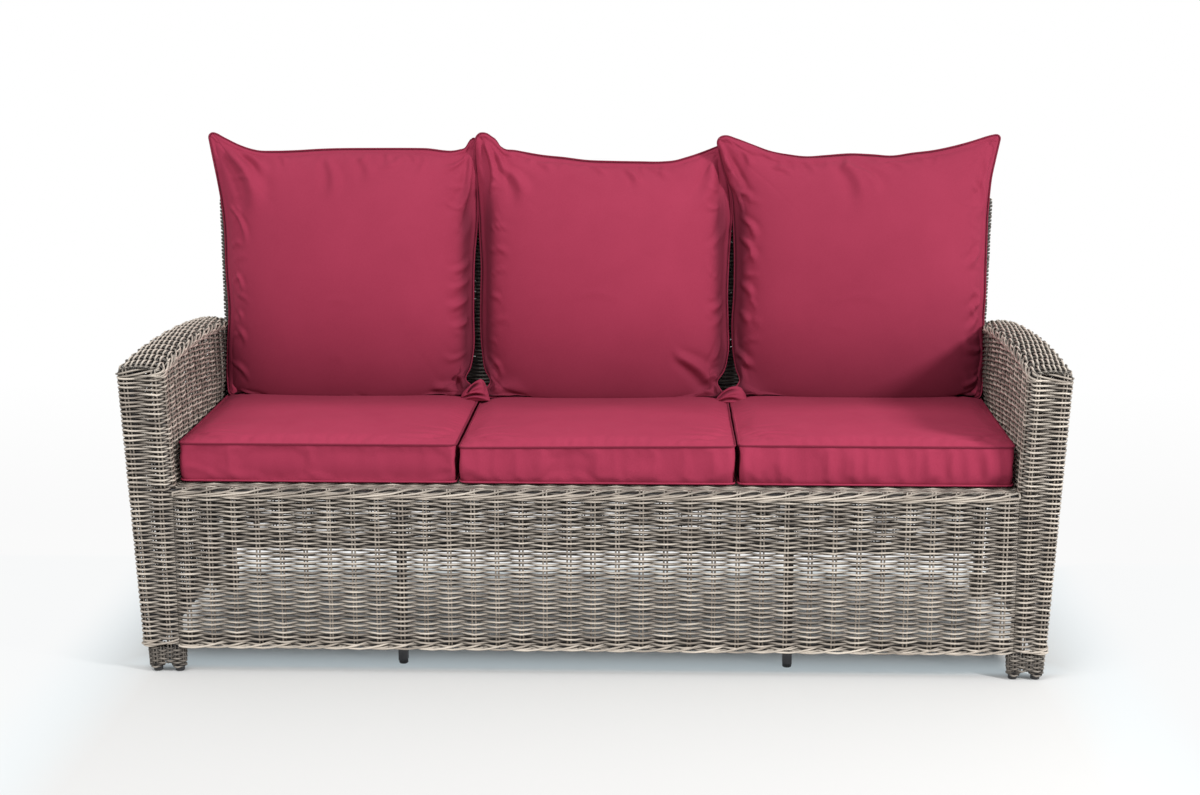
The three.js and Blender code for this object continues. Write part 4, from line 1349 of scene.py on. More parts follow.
def makeSeat(slot, name):
    low, high = seatSpan(slot)
    random = np.random.default_rng(seat["seed"] + slot)
    centre, half = (low + high) / 2, (high - low) / 2
    middle, reach = (seat["front"] + seat["rear"]) / 2, (seat["rear"] - seat["front"]) / 2
    cells = seat["cells"]
    steps = np.linspace(-1, 1, cells + 1)
    s, t = np.meshgrid(steps, steps, indexing="ij")
    foot = seat["low"] + seat["clear"]

    def plan(s, t, inset):
        x, y = roundedPlan(s, t, half - inset, reach - inset, seat["corner"] + seat["cornerEase"] * inset)
        along = 1 - np.clip(y / reach, -1, 1) ** 2
        across = 1 - np.clip(x / half, -1, 1) ** 2
        x = x * (1 - seat["sideDraw"] * along / half)
        d = middle + y * (1 - seat["sideDraw"] * seat["frontDrawShare"] * across / reach)
        splay = form["innerSplay"] * d / form["baseDepth"]
        x = x + slot * splay * (1 + slot * x / half) / 2
        return centre + x, d

    x, d = plan(s, t, seat["seamInset"])
    top = toFrame(x, d, seamHeight(slot, x) + seatCrown(s, t, reach))
    x, d = plan(s, t, seat["lowInset"])
    bottom = toFrame(x, d, np.full_like(x, foot))
    index = np.arange((cells + 1) ** 2).reshape(cells + 1, cells + 1)
    topLoop = edgeLoop(index)
    bottomIndex = index + index.size
    bottomLoop = edgeLoop(bottomIndex)
    loopS, loopT = s.ravel()[topLoop], t.ravel()[topLoop]
    rows, points = [topLoop], [top.reshape(-1, 3), bottom.reshape(-1, 3)]
    count = 2 * index.size
    waves = random.normal(0, 1, len(topLoop))
    waves = waves + 0.5 * (np.roll(waves, 1) + np.roll(waves, -1))
    for row in range(1, seat["bandRows"]):
        share = row / seat["bandRows"]
        bulge = math.sin(math.pi * share) ** seat["bandRoundness"]
        inset = seat["seamInset"] + (seat["lowInset"] - seat["seamInset"]) * share
        x, d = plan(loopS, loopT, inset * (1 - bulge))
        d = d + seat["wrinkle"][slot + 1] * waves * np.sin(np.pi * share) * (loopT < seat["frontLine"])
        upper = seamHeight(slot, x)
        points.append(toFrame(x, d, upper + (foot - upper) * share))
        rows.append(np.arange(count, count + len(topLoop)))
        count += len(topLoop)
    rows.append(bottomLoop)
    band = [np.stack([upper, np.roll(upper, -1), np.roll(lower, -1), lower], axis=-1)
            for upper, lower in zip(rows, rows[1:])]
    faces = np.concatenate([gridFaces(index), gridFaces(bottomIndex)[:, ::-1]] + band)
    piece = meshObject(f"seat_pad_{name}", np.concatenate(points), faces, canvas)
    held = np.concatenate([topLoop, bottomIndex.ravel()])
    moved = inflate(piece, held, seat["cap"], seat["excess"])
    topX, topD = moved[:index.size, 0], moved[:index.size, 1] - form["frontFace"]
    folds = [(edge + side * startX, startD, edge + side * endX, endD, width, sink)
             for side, edge in ((1, low), (-1, high))
             for startX, startD, endX, endD, width, sink in seat["folds"]]
    folds += seatPuckers(random, low, high)
    inside = (1 - np.maximum(np.abs(s), np.abs(t)).ravel()) / seat["foldFade"]
    moved[:index.size, 2] += creases(folds, topX, topD) * np.clip(inside, 0, 1) * seat["foldScale"]
    setPoints(piece, moved)
    # Painted shade on the top towards the pillow and on the band
    behind = smooth((t.ravel() - seat["crown"]["pressedFrom"]) / seat["rearShadeReach"])
    paintedShade = np.full(len(moved), seat["bandShade"])
    paintedShade[:index.size] = seat["rearShade"] * behind
    markPaintedShade(piece, paintedShade)
    holdSeams(piece, [topLoop, bottomLoop])
    finishPad(piece, f"seat_{name}", f"seat_cushion_{name}")
    span = seat["pipingSpan"]
    for loop, label in ((topLoop, "top"), (bottomLoop, "low")):
        cord = seat["piping"][label]
        ring = moved[loop] + np.array([0, 0, cord["rise"]])
        outward = unit((ring - ring.mean(0)) * np.array([1, 1, 0]))
        wander = random.normal(0, 1, (len(loop), 1))
        wander = sum(np.roll(wander, shift, axis=0) for shift in range(-span, span + 1))
        wander = wander * seat["pipingWander"]
        cordRing = ring + outward * (cord["reach"] + wander)
        piping(f"seat_piping_{label}_{name}", cordRing, outward, f"seat_{name}", cord["material"])

# Outlines in metres on the plane of each pillow: places across, and heights above the pillow's foot.
# A fold is a crease from one place to another, with a width and a depth.
pillows = {
    "seed": 400,
    "rearBulge": 0.044,
    "rearFullness": 1.4,
    "frontBulge": 0.094,
    "roundness": 2.4,
    "fullness": 0.50,
    "footRise": 0.008,
    "footPower": 4,
    "footClear": 0.0008,
    "backClear": 0.0006,
    "seatClear": 0.0040,
    "belly": 0.062,
    "bellyHeight": 0.16,
    "rearBelly": 0.3,
    "earRadius": 0.045,
    "earReach": (0.20, 0.16),
    "rearShift": 0.02,
    "cells": 92,
    "crowding": 0.8,
    "cap": 0.010,
    "excess": 0.012,
    "fill": 0.7,
    "sidePuckers": {"from": 0.05, "to": 0.55, "spacing": 0.040, "reach": 0.050, "depth": 0.0026},
    "topPuckers": {"height": 0.585, "from": 0.08, "spacing": 0.045, "reach": 0.045, "depth": 0.00208},
    "foldScale": 2.2,
    "foldFade": 0.035,
    "pipingReach": 0.0020,
    # Painted shade: shading darkens a pillow low down, at its foot and beside its neighbours, and each
    # pillow's shade darkens it all over
    "shading": {"low": 0.385, "lowReach": 0.14, "foot": 0.45, "footReach": 0.010,
                "side": 0.55, "sideStart": 0.004, "sideReach": 0.013, "sidePower": 1.5,
                "sideTop": 0.56, "sideFade": 0.15},
    "left": {
        "shade": 0.15,
        "top": [(-0.957, 0.629), (-0.940, 0.627), (-0.919, 0.615), (-0.885, 0.597), (-0.848, 0.585),
                (-0.800, 0.583), (-0.758, 0.584), (-0.684, 0.588), (-0.546, 0.590), (-0.435, 0.590),
                (-0.352, 0.588), (-0.336, 0.594), (-0.323, 0.613), (-0.309, 0.624)],
        "leftEdge": [(0, -0.900), (0.04, -0.905), (0.1, -0.906), (0.2, -0.902), (0.29, -0.909),
                     (0.416, -0.916), (0.471, -0.924), (0.517, -0.933), (0.563, -0.943), (0.629, -0.957)],
        "rightEdge": [(0, -0.292), (0.014, -0.303), (0.034, -0.327), (0.065, -0.319), (0.1, -0.313),
                      (0.2, -0.313), (0.34, -0.311), (0.41, -0.305), (0.5, -0.305), (0.58, -0.307),
                      (0.624, -0.309)],
        "corners": {"leftFoot": 0.010, "rightFoot": 0.048, "leftEar": 0.0, "rightEar": -0.010},
        "folds": [
            (-0.900, 0.579, -0.829, 0.431, 0.020, 0.0070),
            (-0.868, 0.583, -0.809, 0.514, 0.012, 0.0040),
            (-0.902, 0.444, -0.856, 0.358, 0.006, 0.0035),
            (-0.663, 0.566, -0.645, 0.459, 0.014, 0.0030),
            (-0.583, 0.571, -0.555, 0.508, 0.012, 0.0025),
            (-0.486, 0.573, -0.528, 0.542, 0.008, 0.0020),
            (-0.331, 0.574, -0.386, 0.542, 0.007, 0.0030),
            (-0.317, 0.563, -0.361, 0.418, 0.012, 0.0040),
            (-0.310, 0.543, -0.336, 0.356, 0.009, 0.0040),
            (-0.306, 0.332, -0.360, 0.293, 0.008, 0.0040),
            (-0.308, 0.288, -0.367, 0.253, 0.008, 0.0040),
            (-0.311, 0.239, -0.370, 0.215, 0.008, 0.0040),
            (-0.306, 0.205, -0.352, 0.163, 0.008, 0.0040),
            (-0.293, 0.043, -0.342, 0.070, 0.012, 0.0050),
            (-0.345, 0.060, -0.327, -0.005, 0.010, 0.0070),
            (-0.400, 0.060, -0.341, -0.002, 0.014, 0.0040),
            (-0.591, 0.048, -0.535, -0.010, 0.008, 0.0040),
            (-0.865, 0.019, -0.795, 0.006, 0.010, 0.0030),
            (-0.887, 0.289, -0.866, 0.247, 0.006, 0.0030),
            (-0.885, 0.202, -0.866, 0.182, 0.006, 0.0030),
            (-0.885, 0.161, -0.855, 0.137, 0.007, 0.0030),
            (-0.661, 0.223, -0.574, 0.213, 0.010, 0.0004),
            (-0.643, 0.122, -0.612, 0.114, 0.008, 0.0004),
        ],
    },
    "middle": {
        "shade": 0.13,
        "top": [(-0.307, 0.621), (-0.296, 0.626), (-0.279, 0.625), (-0.268, 0.618), (-0.257, 0.610),
                (-0.249, 0.598), (-0.239, 0.590), (-0.213, 0.586), (-0.144, 0.574), (-0.095, 0.569),
                (-0.04, 0.562), (0.016, 0.560), (0.086, 0.559), (0.141, 0.559), (0.17, 0.562),
                (0.198, 0.570), (0.225, 0.579), (0.26, 0.593), (0.290, 0.606)],
        "leftEdge": [(0, -0.290), (0.012, -0.277), (0.03, -0.265), (0.06, -0.279), (0.1, -0.286),
                     (0.236, -0.291), (0.306, -0.290), (0.376, -0.294), (0.446, -0.298), (0.516, -0.304),
                     (0.584, -0.308), (0.622, -0.307)],
        "rightEdge": [(0, 0.294), (0.013, 0.284), (0.032, 0.274), (0.059, 0.290), (0.1, 0.300),
                      (0.17, 0.300), (0.24, 0.298), (0.31, 0.300), (0.364, 0.303), (0.426, 0.307),
                      (0.489, 0.303), (0.532, 0.295), (0.606, 0.290)],
        "corners": {"leftFoot": 0.040, "rightFoot": 0.050, "leftEar": 0.012, "rightEar": -0.014},
        "folds": [
            (-0.284, 0.598, -0.272, 0.474, 0.010, 0.0050),
            (-0.254, 0.577, -0.247, 0.498, 0.012, 0.0040),
            (-0.233, 0.543, -0.184, 0.457, 0.016, 0.0040),
            (0.056, 0.543, 0.087, 0.499, 0.009, 0.0035),
            (-0.023, 0.549, 0.008, 0.528, 0.008, 0.0025),
            (0.118, 0.543, 0.159, 0.521, 0.008, 0.0025),
            (-0.154, 0.560, -0.119, 0.536, 0.008, 0.0020),
            (0.288, 0.571, 0.295, 0.472, 0.009, 0.0050),
            (0.262, 0.564, 0.225, 0.441, 0.018, 0.0040),
            (0.297, 0.468, 0.280, 0.358, 0.010, 0.0040),
            (0.298, 0.235, 0.254, 0.207, 0.009, 0.0040),
            (0.298, 0.207, 0.261, 0.173, 0.008, 0.0030),
            (-0.059, 0.237, 0.051, 0.226, 0.010, 0.0004),
            (0.182, 0.121, 0.277, 0.026, 0.012, 0.0060),
            (0.227, 0.025, 0.274, 0.012, 0.010, 0.0050),
            (0.270, 0.063, 0.273, -0.016, 0.007, 0.0070),
            (-0.276, 0.047, -0.246, 0.009, 0.010, 0.0050),
            (-0.251, 0.026, -0.179, 0.061, 0.014, 0.0030),
            (0.021, 0.028, 0.028, -0.017, 0.007, 0.0025),
        ],
    },
    "right": {
        "shade": 0.19,
        "top": [(0.272, 0.612), (0.293, 0.618), (0.321, 0.612), (0.356, 0.600), (0.398, 0.585),
                (0.446, 0.576), (0.481, 0.572), (0.536, 0.575), (0.592, 0.579), (0.647, 0.577),
                (0.696, 0.574), (0.744, 0.581), (0.799, 0.588), (0.848, 0.599), (0.889, 0.611),
                (0.924, 0.623), (0.951, 0.629)],
        "leftEdge": [(0, 0.301), (0.013, 0.313), (0.034, 0.331), (0.065, 0.324), (0.1, 0.318), (0.17, 0.314),
                     (0.24, 0.318), (0.345, 0.319), (0.426, 0.315), (0.489, 0.309), (0.525, 0.296),
                     (0.58, 0.280), (0.612, 0.272)],
        "rightEdge": [(0, 0.904), (0.06, 0.911), (0.131, 0.913), (0.2, 0.911), (0.241, 0.914),
                      (0.311, 0.915), (0.38, 0.917), (0.436, 0.919), (0.484, 0.923), (0.526, 0.928),
                      (0.568, 0.937), (0.629, 0.951)],
        "corners": {"leftFoot": 0.046, "rightFoot": 0.010, "leftEar": 0.036, "rightEar": 0.0},
        "folds": [
            (0.292, 0.571, 0.312, 0.479, 0.010, 0.0060),
            (0.320, 0.527, 0.327, 0.475, 0.009, 0.0040),
            (0.339, 0.582, 0.351, 0.544, 0.008, 0.0025),
            (0.408, 0.544, 0.452, 0.532, 0.007, 0.0025),
            (0.483, 0.563, 0.507, 0.534, 0.008, 0.0025),
            (0.578, 0.558, 0.627, 0.452, 0.022, 0.0050),
            (0.613, 0.544, 0.654, 0.473, 0.014, 0.0035),
            (0.681, 0.562, 0.722, 0.545, 0.008, 0.0025),
            (0.319, 0.383, 0.362, 0.318, 0.010, 0.0040),
            (0.325, 0.427, 0.367, 0.369, 0.009, 0.0035),
            (0.319, 0.273, 0.358, 0.232, 0.009, 0.0040),
            (0.317, 0.208, 0.348, 0.173, 0.008, 0.0030),
            (0.314, 0.105, 0.359, 0.088, 0.009, 0.0040),
            (0.901, 0.354, 0.862, 0.309, 0.009, 0.0040),
            (0.906, 0.244, 0.870, 0.203, 0.009, 0.0040),
            (0.902, 0.207, 0.863, 0.165, 0.008, 0.0035),
            (0.909, 0.511, 0.896, 0.422, 0.007, 0.0030),
            (0.919, 0.566, 0.879, 0.422, 0.014, 0.0030),
            (0.546, 0.228, 0.689, 0.221, 0.010, 0.0004),
            (0.540, 0.176, 0.591, 0.166, 0.009, 0.0004),
            (0.905, 0.022, 0.800, 0.001, 0.012, 0.0040),
            (0.901, 0.056, 0.860, 0.066, 0.009, 0.0030),
            (0.287, 0.026, 0.332, -0.008, 0.010, 0.0060),
            (0.335, 0.029, 0.383, 0.006, 0.012, 0.0030),
        ],
    },
}

def softCurve(stops, value):
    places, levels = np.array(stops, float).T
    slopes = np.gradient(levels, places)
    index = np.clip(np.searchsorted(places, value) - 1, 0, len(places) - 2)
    width = places[index + 1] - places[index]
    part = np.clip((value - places[index]) / width, 0, 1)
    squared, cubed = part ** 2, part ** 3
    start, end = levels[index], levels[index + 1]
    leaving, arriving = slopes[index], slopes[index + 1]
    return (start * (2 * cubed - 3 * squared + 1) + leaving * width * (cubed - 2 * squared + part)
            + end * (3 * squared - 2 * cubed) + arriving * width * (cubed - squared))

crease = {
    "bend": 0.12,
    "narrow": 0.55,
    "widening": 0.6,
    "startFade": (0.15, 0.3),
    "endFade": (1.1, 0.6),
    "lips": ((0.5, 1.7), (0.35, -1.7)),
}

# Depth of creases at places across and along a face: each sinks between two soft lips
def creases(folds, across, along):
    depth = np.zeros_like(across)
    (before, fadeIn), (beyond, fadeOut) = crease["startFade"], crease["endFade"]
    for startX, startV, endX, endV, width, sink in folds:
        runX, runV = endX - startX, endV - startV
        length = math.hypot(runX, runV)
        part = ((across - startX) * runX + (along - startV) * runV) / length ** 2
        inside = np.clip(part, 0, 1)
        aside = ((across - startX) * runV - (along - startV) * runX) / length
        aside = aside + crease["bend"] * length * np.sin(np.pi * inside)
        aside = aside / (width * (crease["narrow"] + crease["widening"] * inside))
        taper = smooth(np.clip((part + before) / fadeIn, 0, 1) * np.clip((beyond - part) / fadeOut, 0, 1))
        lips = sum(height * np.exp(-(aside - place) ** 2) for height, place in crease["lips"])
        depth += sink * taper * (lips - np.exp(-aside ** 2))
    return depth

pucker = {
    "inset": 0.004,
    "first": (0.4, 1.0),
    "last": 0.4,
    "step": (0.55, 1.6),
    "length": (0.5, 1.2),
    "lean": 0.35,
    "width": (0.0045, 0.0080),
    "depth": (0.4, 1.2),
}

# Small creases that run in from a seam, at uneven steps along it
def seamPuckers(random, ends, inward, spacing, reach, sink):
    start, end = (np.array(point) for point in ends)
    inward = np.array(inward)
    length = np.linalg.norm(end - start)
    along = (end - start) / length
    place, folds = spacing * random.uniform(*pucker["first"]), []
    while place < length - spacing * pucker["last"]:
        foot = start + along * place + inward * pucker["inset"]
        tip = foot + inward * reach * random.uniform(*pucker["length"])
        tip = tip + along * reach * random.normal(0, pucker["lean"])
        folds.append((*foot, *tip, random.uniform(*pucker["width"]), sink * random.uniform(*pucker["depth"])))
        place += spacing * random.uniform(*pucker["step"])
    return folds

# Folded corner of a pillow that lies on the seat beside its neighbour
tucks = {
    "around": 48,
    "rings": 18,
    "innerReach": 0.06,
    "roundness": 0.98,
    "foldReach": 2.5,
    "thickness": 0.020,
    "sink": 0.0015,
    # Painted shade: the tuck is darkened all over, in its folds and on its rear
    "shade": 0.25,
    "foldShade": 60,
    "rearShade": 0.6,
    "fill": 0.5,
    "left": {
        "outline": [(-0.337, -0.012), (-0.331, 0.004), (-0.317, 0.018), (-0.300, 0.031), (-0.287, 0.038),
                    (-0.278, 0.030), (-0.271, 0.012), (-0.266, -0.008), (-0.262, -0.020), (-0.294, -0.022),
                    (-0.328, -0.021)],
        "folds": [(-0.318, 0.002, -0.286, 0.026, 0.0042, 0.0100),
                  (-0.330, -0.010, -0.268, -0.008, 0.0034, 0.0080),
                  (-0.283, 0.030, -0.276, 0.000, 0.0030, 0.0040)],
        "out": 0.052,
        "dome": 0.018,
    },
    "middle": {
        "outline": [(0.266, -0.020), (0.275, -0.004), (0.288, 0.010), (0.303, 0.020), (0.320, 0.024),
                    (0.334, 0.019), (0.343, 0.005), (0.348, -0.012), (0.344, -0.024), (0.305, -0.026),
                    (0.276, -0.024)],
        "folds": [(0.276, -0.010, 0.330, 0.014, 0.0040, 0.0070),
                  (0.272, -0.018, 0.338, -0.016, 0.0040, 0.0050),
                  (0.336, 0.014, 0.342, -0.010, 0.0030, 0.0030)],
        "out": 0.054,
        "dome": 0.020,
    },
}

def makeTuck(name, settle, forward, seatTop):
    shape = tucks[name]
    outline = np.array(shape["outline"])
    closed = np.concatenate([outline, outline[:1]])
    around = np.linspace(0, len(outline), tucks["around"], endpoint=False)
    edge = np.stack([np.interp(around, np.arange(len(closed)), closed[:, axis]) for axis in range(2)], axis=1)
    edge = (np.roll(edge, 1, axis=0) + 2 * edge + np.roll(edge, -1, axis=0)) / 4
    centre = edge.mean(0)
    reach = np.linspace(tucks["innerReach"], 1, tucks["rings"])[:, None, None]
    plan = centre + (edge - centre)[None] * reach
    dome = np.sqrt(1 - reach[..., 0] ** 2 * tucks["roundness"])
    across, height = plan[..., 0], plan[..., 1]
    sunk = creases(shape["folds"], across, height)
    out = shape["out"] + shape["dome"] * dome + sunk * np.clip(dome * tucks["foldReach"], 0, 1)
    front = settle(across, height, out)
    points = np.concatenate([front.reshape(-1, 3), front[-1] - forward * tucks["thickness"]])
    points[:, 2] = np.maximum(points[:, 2], seatTop - tucks["sink"])
    index = np.arange(len(points)).reshape(-1, len(edge))
    nextIndex = np.roll(index, -1, axis=1)
    quads = np.stack([index[:-1], index[1:], nextIndex[1:], nextIndex[:-1]], axis=-1)
    faces = quads.reshape(-1, 4).tolist() + [index[0].tolist(), index[-1, ::-1].tolist()]
    piece = meshObject(f"pillow_tuck_{name}", points, faces, canvas)
    # Painted shade on the tuck and in its folds
    paintedShade = tucks["shade"] + tucks["foldShade"] * np.maximum(-sunk, 0)
    markPaintedShade(piece, np.append(paintedShade.ravel(), np.full(len(edge), tucks["rearShade"])))
    finishPad(piece, f"pillow_{name}")

# Painted shade on each place of a pillow: all over, low down, at the foot and beside its neighbours
def pillowShade(shape, sides, across, along, foot):
    shading = pillows["shading"]
    paintedShade = shape["shade"] + shading["low"] * np.exp(-(along / shading["lowReach"]) ** 2)
    paintedShade = paintedShade + shading["foot"] * np.exp(-((along - foot) / shading["footReach"]) ** 2)
    for edgeX in sides:
        away = np.maximum(np.abs(across - edgeX) - shading["sideStart"], 0) / shading["sideReach"]
        below = smooth((shading["sideTop"] - along) / shading["sideFade"])
        near = np.exp(-away ** shading["sidePower"]) * below
        paintedShade = paintedShade + (1 - paintedShade) * shading["side"] * near
    return paintedShade

pillowCorners = {"leftFoot": (-1, -1), "rightFoot": (1, -1), "leftEar": (-1, 1), "rightEar": (1, 1)}

def makePillow(slot, name):
    shape = pillows[name]
    random = np.random.default_rng(pillows["seed"] + slot)
    lean = form["backLean"]
    up = np.array([0, math.sin(lean), math.cos(lean)])
    forward = np.array([0, -math.cos(lean), math.sin(lean)])
    widest = quarter * pillows["crowding"]
    steps = np.sin(np.linspace(-1, 1, pillows["cells"] + 1) * widest) / math.sin(widest)
    s, t = np.meshgrid(steps, steps, indexing="ij")
    edge = (np.abs(s) > 1 - tiny) | (np.abs(t) > 1 - tiny)
    roundness = pillows["roundness"]
    thick = ((1 - np.abs(s) ** roundness) * (1 - np.abs(t) ** roundness)) ** pillows["fullness"]
    planS, planT = roundedPlan(s, t, 1, 1, pillows["earRadius"])
    firstX, lastX = shape["top"][0][0], shape["top"][-1][0]
    topV = softCurve(shape["top"], firstX + (lastX - firstX) * (planS + 1) / 2)
    drop = seat["drop"][slot + 1]
    inward = 1 - s ** pillows["footPower"]
    foot = pillows["footRise"] * inward - drop
    v = foot + (topV - foot) * (planT + 1) / 2
    left, right = softCurve(shape["leftEdge"], v), softCurve(shape["rightEdge"], v)
    x = left + (right - left) * (planS + 1) / 2

    shift = np.zeros_like(x)
    reachS, reachT = pillows["earReach"]
    for label, (cornerS, cornerT) in pillowCorners.items():
        away = ((s - cornerS) / reachS) ** 2 + ((t - cornerT) / reachT) ** 2
        shift += shape["corners"][label] * np.exp(-away)
    front = shift + pillows["frontBulge"] * thick
    rearThick = np.minimum(1, pillows["rearFullness"] * thick)
    rear = np.minimum(shift, pillows["rearShift"]) - pillows["rearBulge"] * rearThick
    low = (1 + t) / pillows["bellyHeight"]
    sunk = pillows["belly"] * low * np.exp(1 - low) * inward
    base = np.array([0, form["frontFace"] + form["backDepth"], form["deckTop"]])
    base = base + forward * (pillows["backClear"] + pillows["rearBulge"])
    base = base + up * (seat["edge"] + pillows["footClear"] - base[2]) / math.cos(lean)
    seatTop = seat["edge"] + pillows["seatClear"] - drop

    def settle(across, along, out):
        place = base + across[..., None] * np.array([1, 0, 0])
        return place + along[..., None] * up + out[..., None] * forward

    index = np.arange(s.size).reshape(s.shape)
    rearIndex = index.copy()
    rearIndex[~edge] = s.size + np.arange((~edge).sum())
    start = np.concatenate([settle(x, v - sunk, front).reshape(-1, 3),
                            settle(x, v - pillows["rearBelly"] * sunk, rear)[~edge]])
    start[:, 2] = np.maximum(start[:, 2], seatTop)
    faces = np.concatenate([gridFaces(index)[:, ::-1], gridFaces(rearIndex)])
    piece = meshObject(f"back_pad_{name}", start, faces, canvas)
    loop = edgeLoop(index)
    moved = inflate(piece, loop, pillows["cap"], pillows["excess"])
    setPoints(piece, moved)
    normals = np.empty(len(moved) * 3)
    piece.data.vertices.foreach_get("normal", normals)
    normals = normals.reshape(-1, 3)
    across, along = x.ravel(), v.ravel()
    leftX, rightX = shape["leftEdge"][3][1], shape["rightEdge"][3][1]
    aside, above = pillows["sidePuckers"], pillows["topPuckers"]
    folds = list(shape["folds"])
    for edgeX, way in ((leftX, 1), (rightX, -1)):
        ends = (edgeX, aside["from"]), (edgeX, aside["to"])
        folds += seamPuckers(random, ends, (way, 0), aside["spacing"], aside["reach"], aside["depth"])
    ends = (leftX + above["from"], above["height"]), (rightX - above["from"], above["height"])
    folds += seamPuckers(random, ends, (0, -1), above["spacing"], above["reach"], above["depth"])
    inside = np.minimum(1 - np.abs(s), 1 - np.abs(t)).ravel() / pillows["foldFade"]
    depth = creases(folds, across, along) * pillows["foldScale"] * np.clip(inside, 0, 1)
    moved[:s.size] += normals[:s.size] * depth[:, None]
    moved[:, 2] = np.maximum(moved[:, 2], seatTop)
    out = (moved - base) @ forward
    moved += np.maximum(-pillows["rearBulge"] - out, 0)[:, None] * forward
    setPoints(piece, moved)
    sides = [edgeX for edgeX, outer in ((leftX, "left"), (rightX, "right")) if name != outer]
    # Painted shade on the pillow's faces
    paintedShade = np.full(len(moved), shape["shade"])
    paintedShade[:s.size] = pillowShade(shape, sides, across, along, foot.ravel())
    markPaintedShade(piece, paintedShade)
    holdSeams(piece, [loop])
    finishPad(piece, f"pillow_{name}", f"back_pillow_{name}")
    ring = moved[loop]
    fromMiddle = ring - ring.mean(0)
    outward = unit(fromMiddle - (fromMiddle @ forward)[:, None] * forward)
    piping(f"back_piping_{name}", ring + outward * pillows["pipingReach"], outward, f"pillow_{name}")
    if name in tucks:
        makeTuck(name, settle, forward, seatTop)

for slot, name in ((-1, "left"), (0, "middle"), (1, "right")):
    makeSeat(slot, name)
    makePillow(slot, name)
print("cushions done")

# Tubes and glides keep their solids and get their finish by name
frameFinishes = {"glide": glidePlastic}
frameFinishes.update({word: powderCoat for word in ("post", "rail", "leg", "bar", "upright")})
for nodeName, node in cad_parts.items():
    finish = next((finish for word, finish in frameFinishes.items() if word in nodeName), None)
    if finish:
        node.data.materials.clear()
        node.data.materials.append(finish)

studio = {
    "backdrop": (1, 1, 1, 1),
    "ambient": 0.67,
    "floorReach": 40,
    "floorColour": (0.668, 0.662, 0.652),
    "floorRoughness": 0.9,
    "floorSpecular": 0.1,
    # Painted light on the floor: shadowTint, glow, edgeGlow and the fades below
    "shadowTint": (0.95, 1.10, 1.17),
    "farFloor": (0.957, 0.957, 0.957),
    "farWhite": (1.0, 1.0, 1.0),
    "whiteFrom": (1.0, 3.0),
    "glow": 0.05,
    "edgeGlow": 0.29,
    "comesUp": (0.19, 0.325),
    "goesDown": (0.325, 0.365),
    "behind": (0.30, 0.56),
    "aside": (0.90, 1.25),
    "asideShare": 0.95,
    "target": (0, 0, 0.5),
    "lights": {
        "key": {"place": (4.5, -2.9, 3.1), "size": (0.8, 0.8), "power": 250},
        "fill": {"place": (-1.6, -2.6, 4.3), "size": (2.6, 2.2), "power": 108},
    },
}

def areaLight(name, place, size, power):
    data = bpy.data.lights.new(name, "AREA")
    data.shape = "RECTANGLE"
    data.size, data.size_y = size
    data.energy = power
    lamp = bpy.data.objects.new(name, data)
    lamp.location = place
    lamp.rotation_euler = (Vector(studio["target"]) - Vector(place)).to_track_quat("-Z", "Y").to_euler()
    scene.collection.objects.link(lamp)

def makeWorld():
    world = bpy.data.worlds.new("studio")
    scene.world = world
    world.use_nodes = True
    tree = world.node_tree
    backdrop = tree.nodes["Background"]
    backdrop.inputs[0].default_value = studio["backdrop"]
    rays = addNode(tree, "ShaderNodeLightPath")
    seen = mathNode(tree, "MAXIMUM", rays.outputs["Is Camera Ray"], rays.outputs["Is Transmission Ray"])
    tree.links.new(spreadOf(tree, seen, 0, 1, studio["ambient"], 1.0), backdrop.inputs[1])

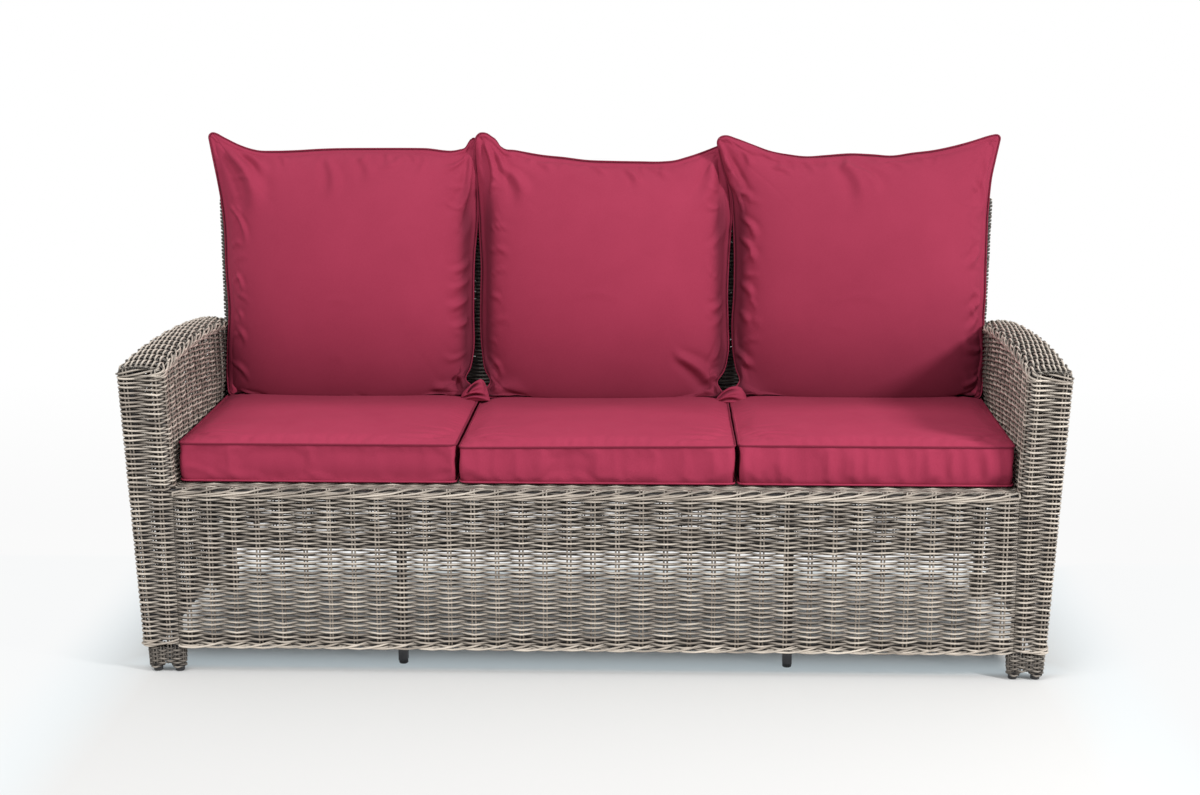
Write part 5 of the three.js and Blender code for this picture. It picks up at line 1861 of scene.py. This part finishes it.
# White floor with painted light: a glow seen by camera and glossy rays tints the sofa's shadow blue, lights a
# strip under the front edge, and fades the shadow out behind the sofa and to its sides
def dressFloor(material):
    material.use_nodes = True
    tree = material.node_tree
    shader = tree.nodes["Principled BSDF"]
    shader.inputs["Base Color"].default_value = studio["floorColour"] + (1,)
    shader.inputs["Roughness"].default_value = studio["floorRoughness"]
    shader.inputs["Specular IOR Level"].default_value = studio["floorSpecular"]
    glow = addNode(tree, "ShaderNodeEmission")
    place = addNode(tree, "ShaderNodeSeparateXYZ")
    tree.links.new(addNode(tree, "ShaderNodeTexCoord").outputs["Object"], place.inputs[0])
    aside = mathNode(tree, "ABSOLUTE", place.outputs[0])
    ahead = mathNode(tree, "MULTIPLY", place.outputs[1], -1.0)
    edges = []
    fades = {"behind": place.outputs[1], "aside": aside, "comesUp": ahead, "goesDown": ahead}
    for key, value in fades.items():
        low, high = studio[key]
        edge = addNode(tree, "ShaderNodeMapRange", {1: low, 2: high}, interpolation_type="SMOOTHSTEP")
        tree.links.new(value, edge.inputs[0])
        edges.append(edge.outputs[0])
    away = mathNode(tree, "MAXIMUM", edges[0], mathNode(tree, "MULTIPLY", edges[1], studio["asideShare"]))
    paling = spreadOf(tree, place.outputs[1], *studio["whiteFrom"])
    far = blendColours(tree, paling, studio["farFloor"], studio["farWhite"])
    tree.links.new(blendColours(tree, away, studio["shadowTint"], far), glow.inputs[0])
    band = mathNode(tree, "SUBTRACT", edges[2], edges[3])
    least = mathNode(tree, "MULTIPLY_ADD", band, studio["edgeGlow"], studio["glow"])
    away = mathNode(tree, "MAXIMUM", away, least)
    rays = addNode(tree, "ShaderNodeLightPath")
    looking = mathNode(tree, "MAXIMUM", rays.outputs["Is Camera Ray"], rays.outputs["Is Glossy Ray"])
    mix = addNode(tree, "ShaderNodeMixShader")
    tree.links.new(mathNode(tree, "MULTIPLY", away, looking), mix.inputs[0])
    tree.links.new(shader.outputs[0], mix.inputs[1])
    tree.links.new(glow.outputs[0], mix.inputs[2])
    tree.links.new(mix.outputs[0], tree.nodes["Material Output"].inputs[0])

def makeFloor():
    reach = studio["floorReach"]
    corners = [(-reach, -reach, 0), (reach, -reach, 0), (reach, reach, 0), (-reach, reach, 0)]
    mesh = bpy.data.meshes.new("floor")
    mesh.from_pydata(corners, [], [(0, 1, 2, 3)])
    floor = bpy.data.objects.new("floor", mesh)
    scene.collection.objects.link(floor)
    material = bpy.data.materials.new("paleFloor")
    dressFloor(material)
    mesh.materials.append(material)

makeWorld()
makeFloor()
for name, light in studio["lights"].items():
    areaLight(name, **light)
scene.view_settings.view_transform = "Standard"
print("studio done")
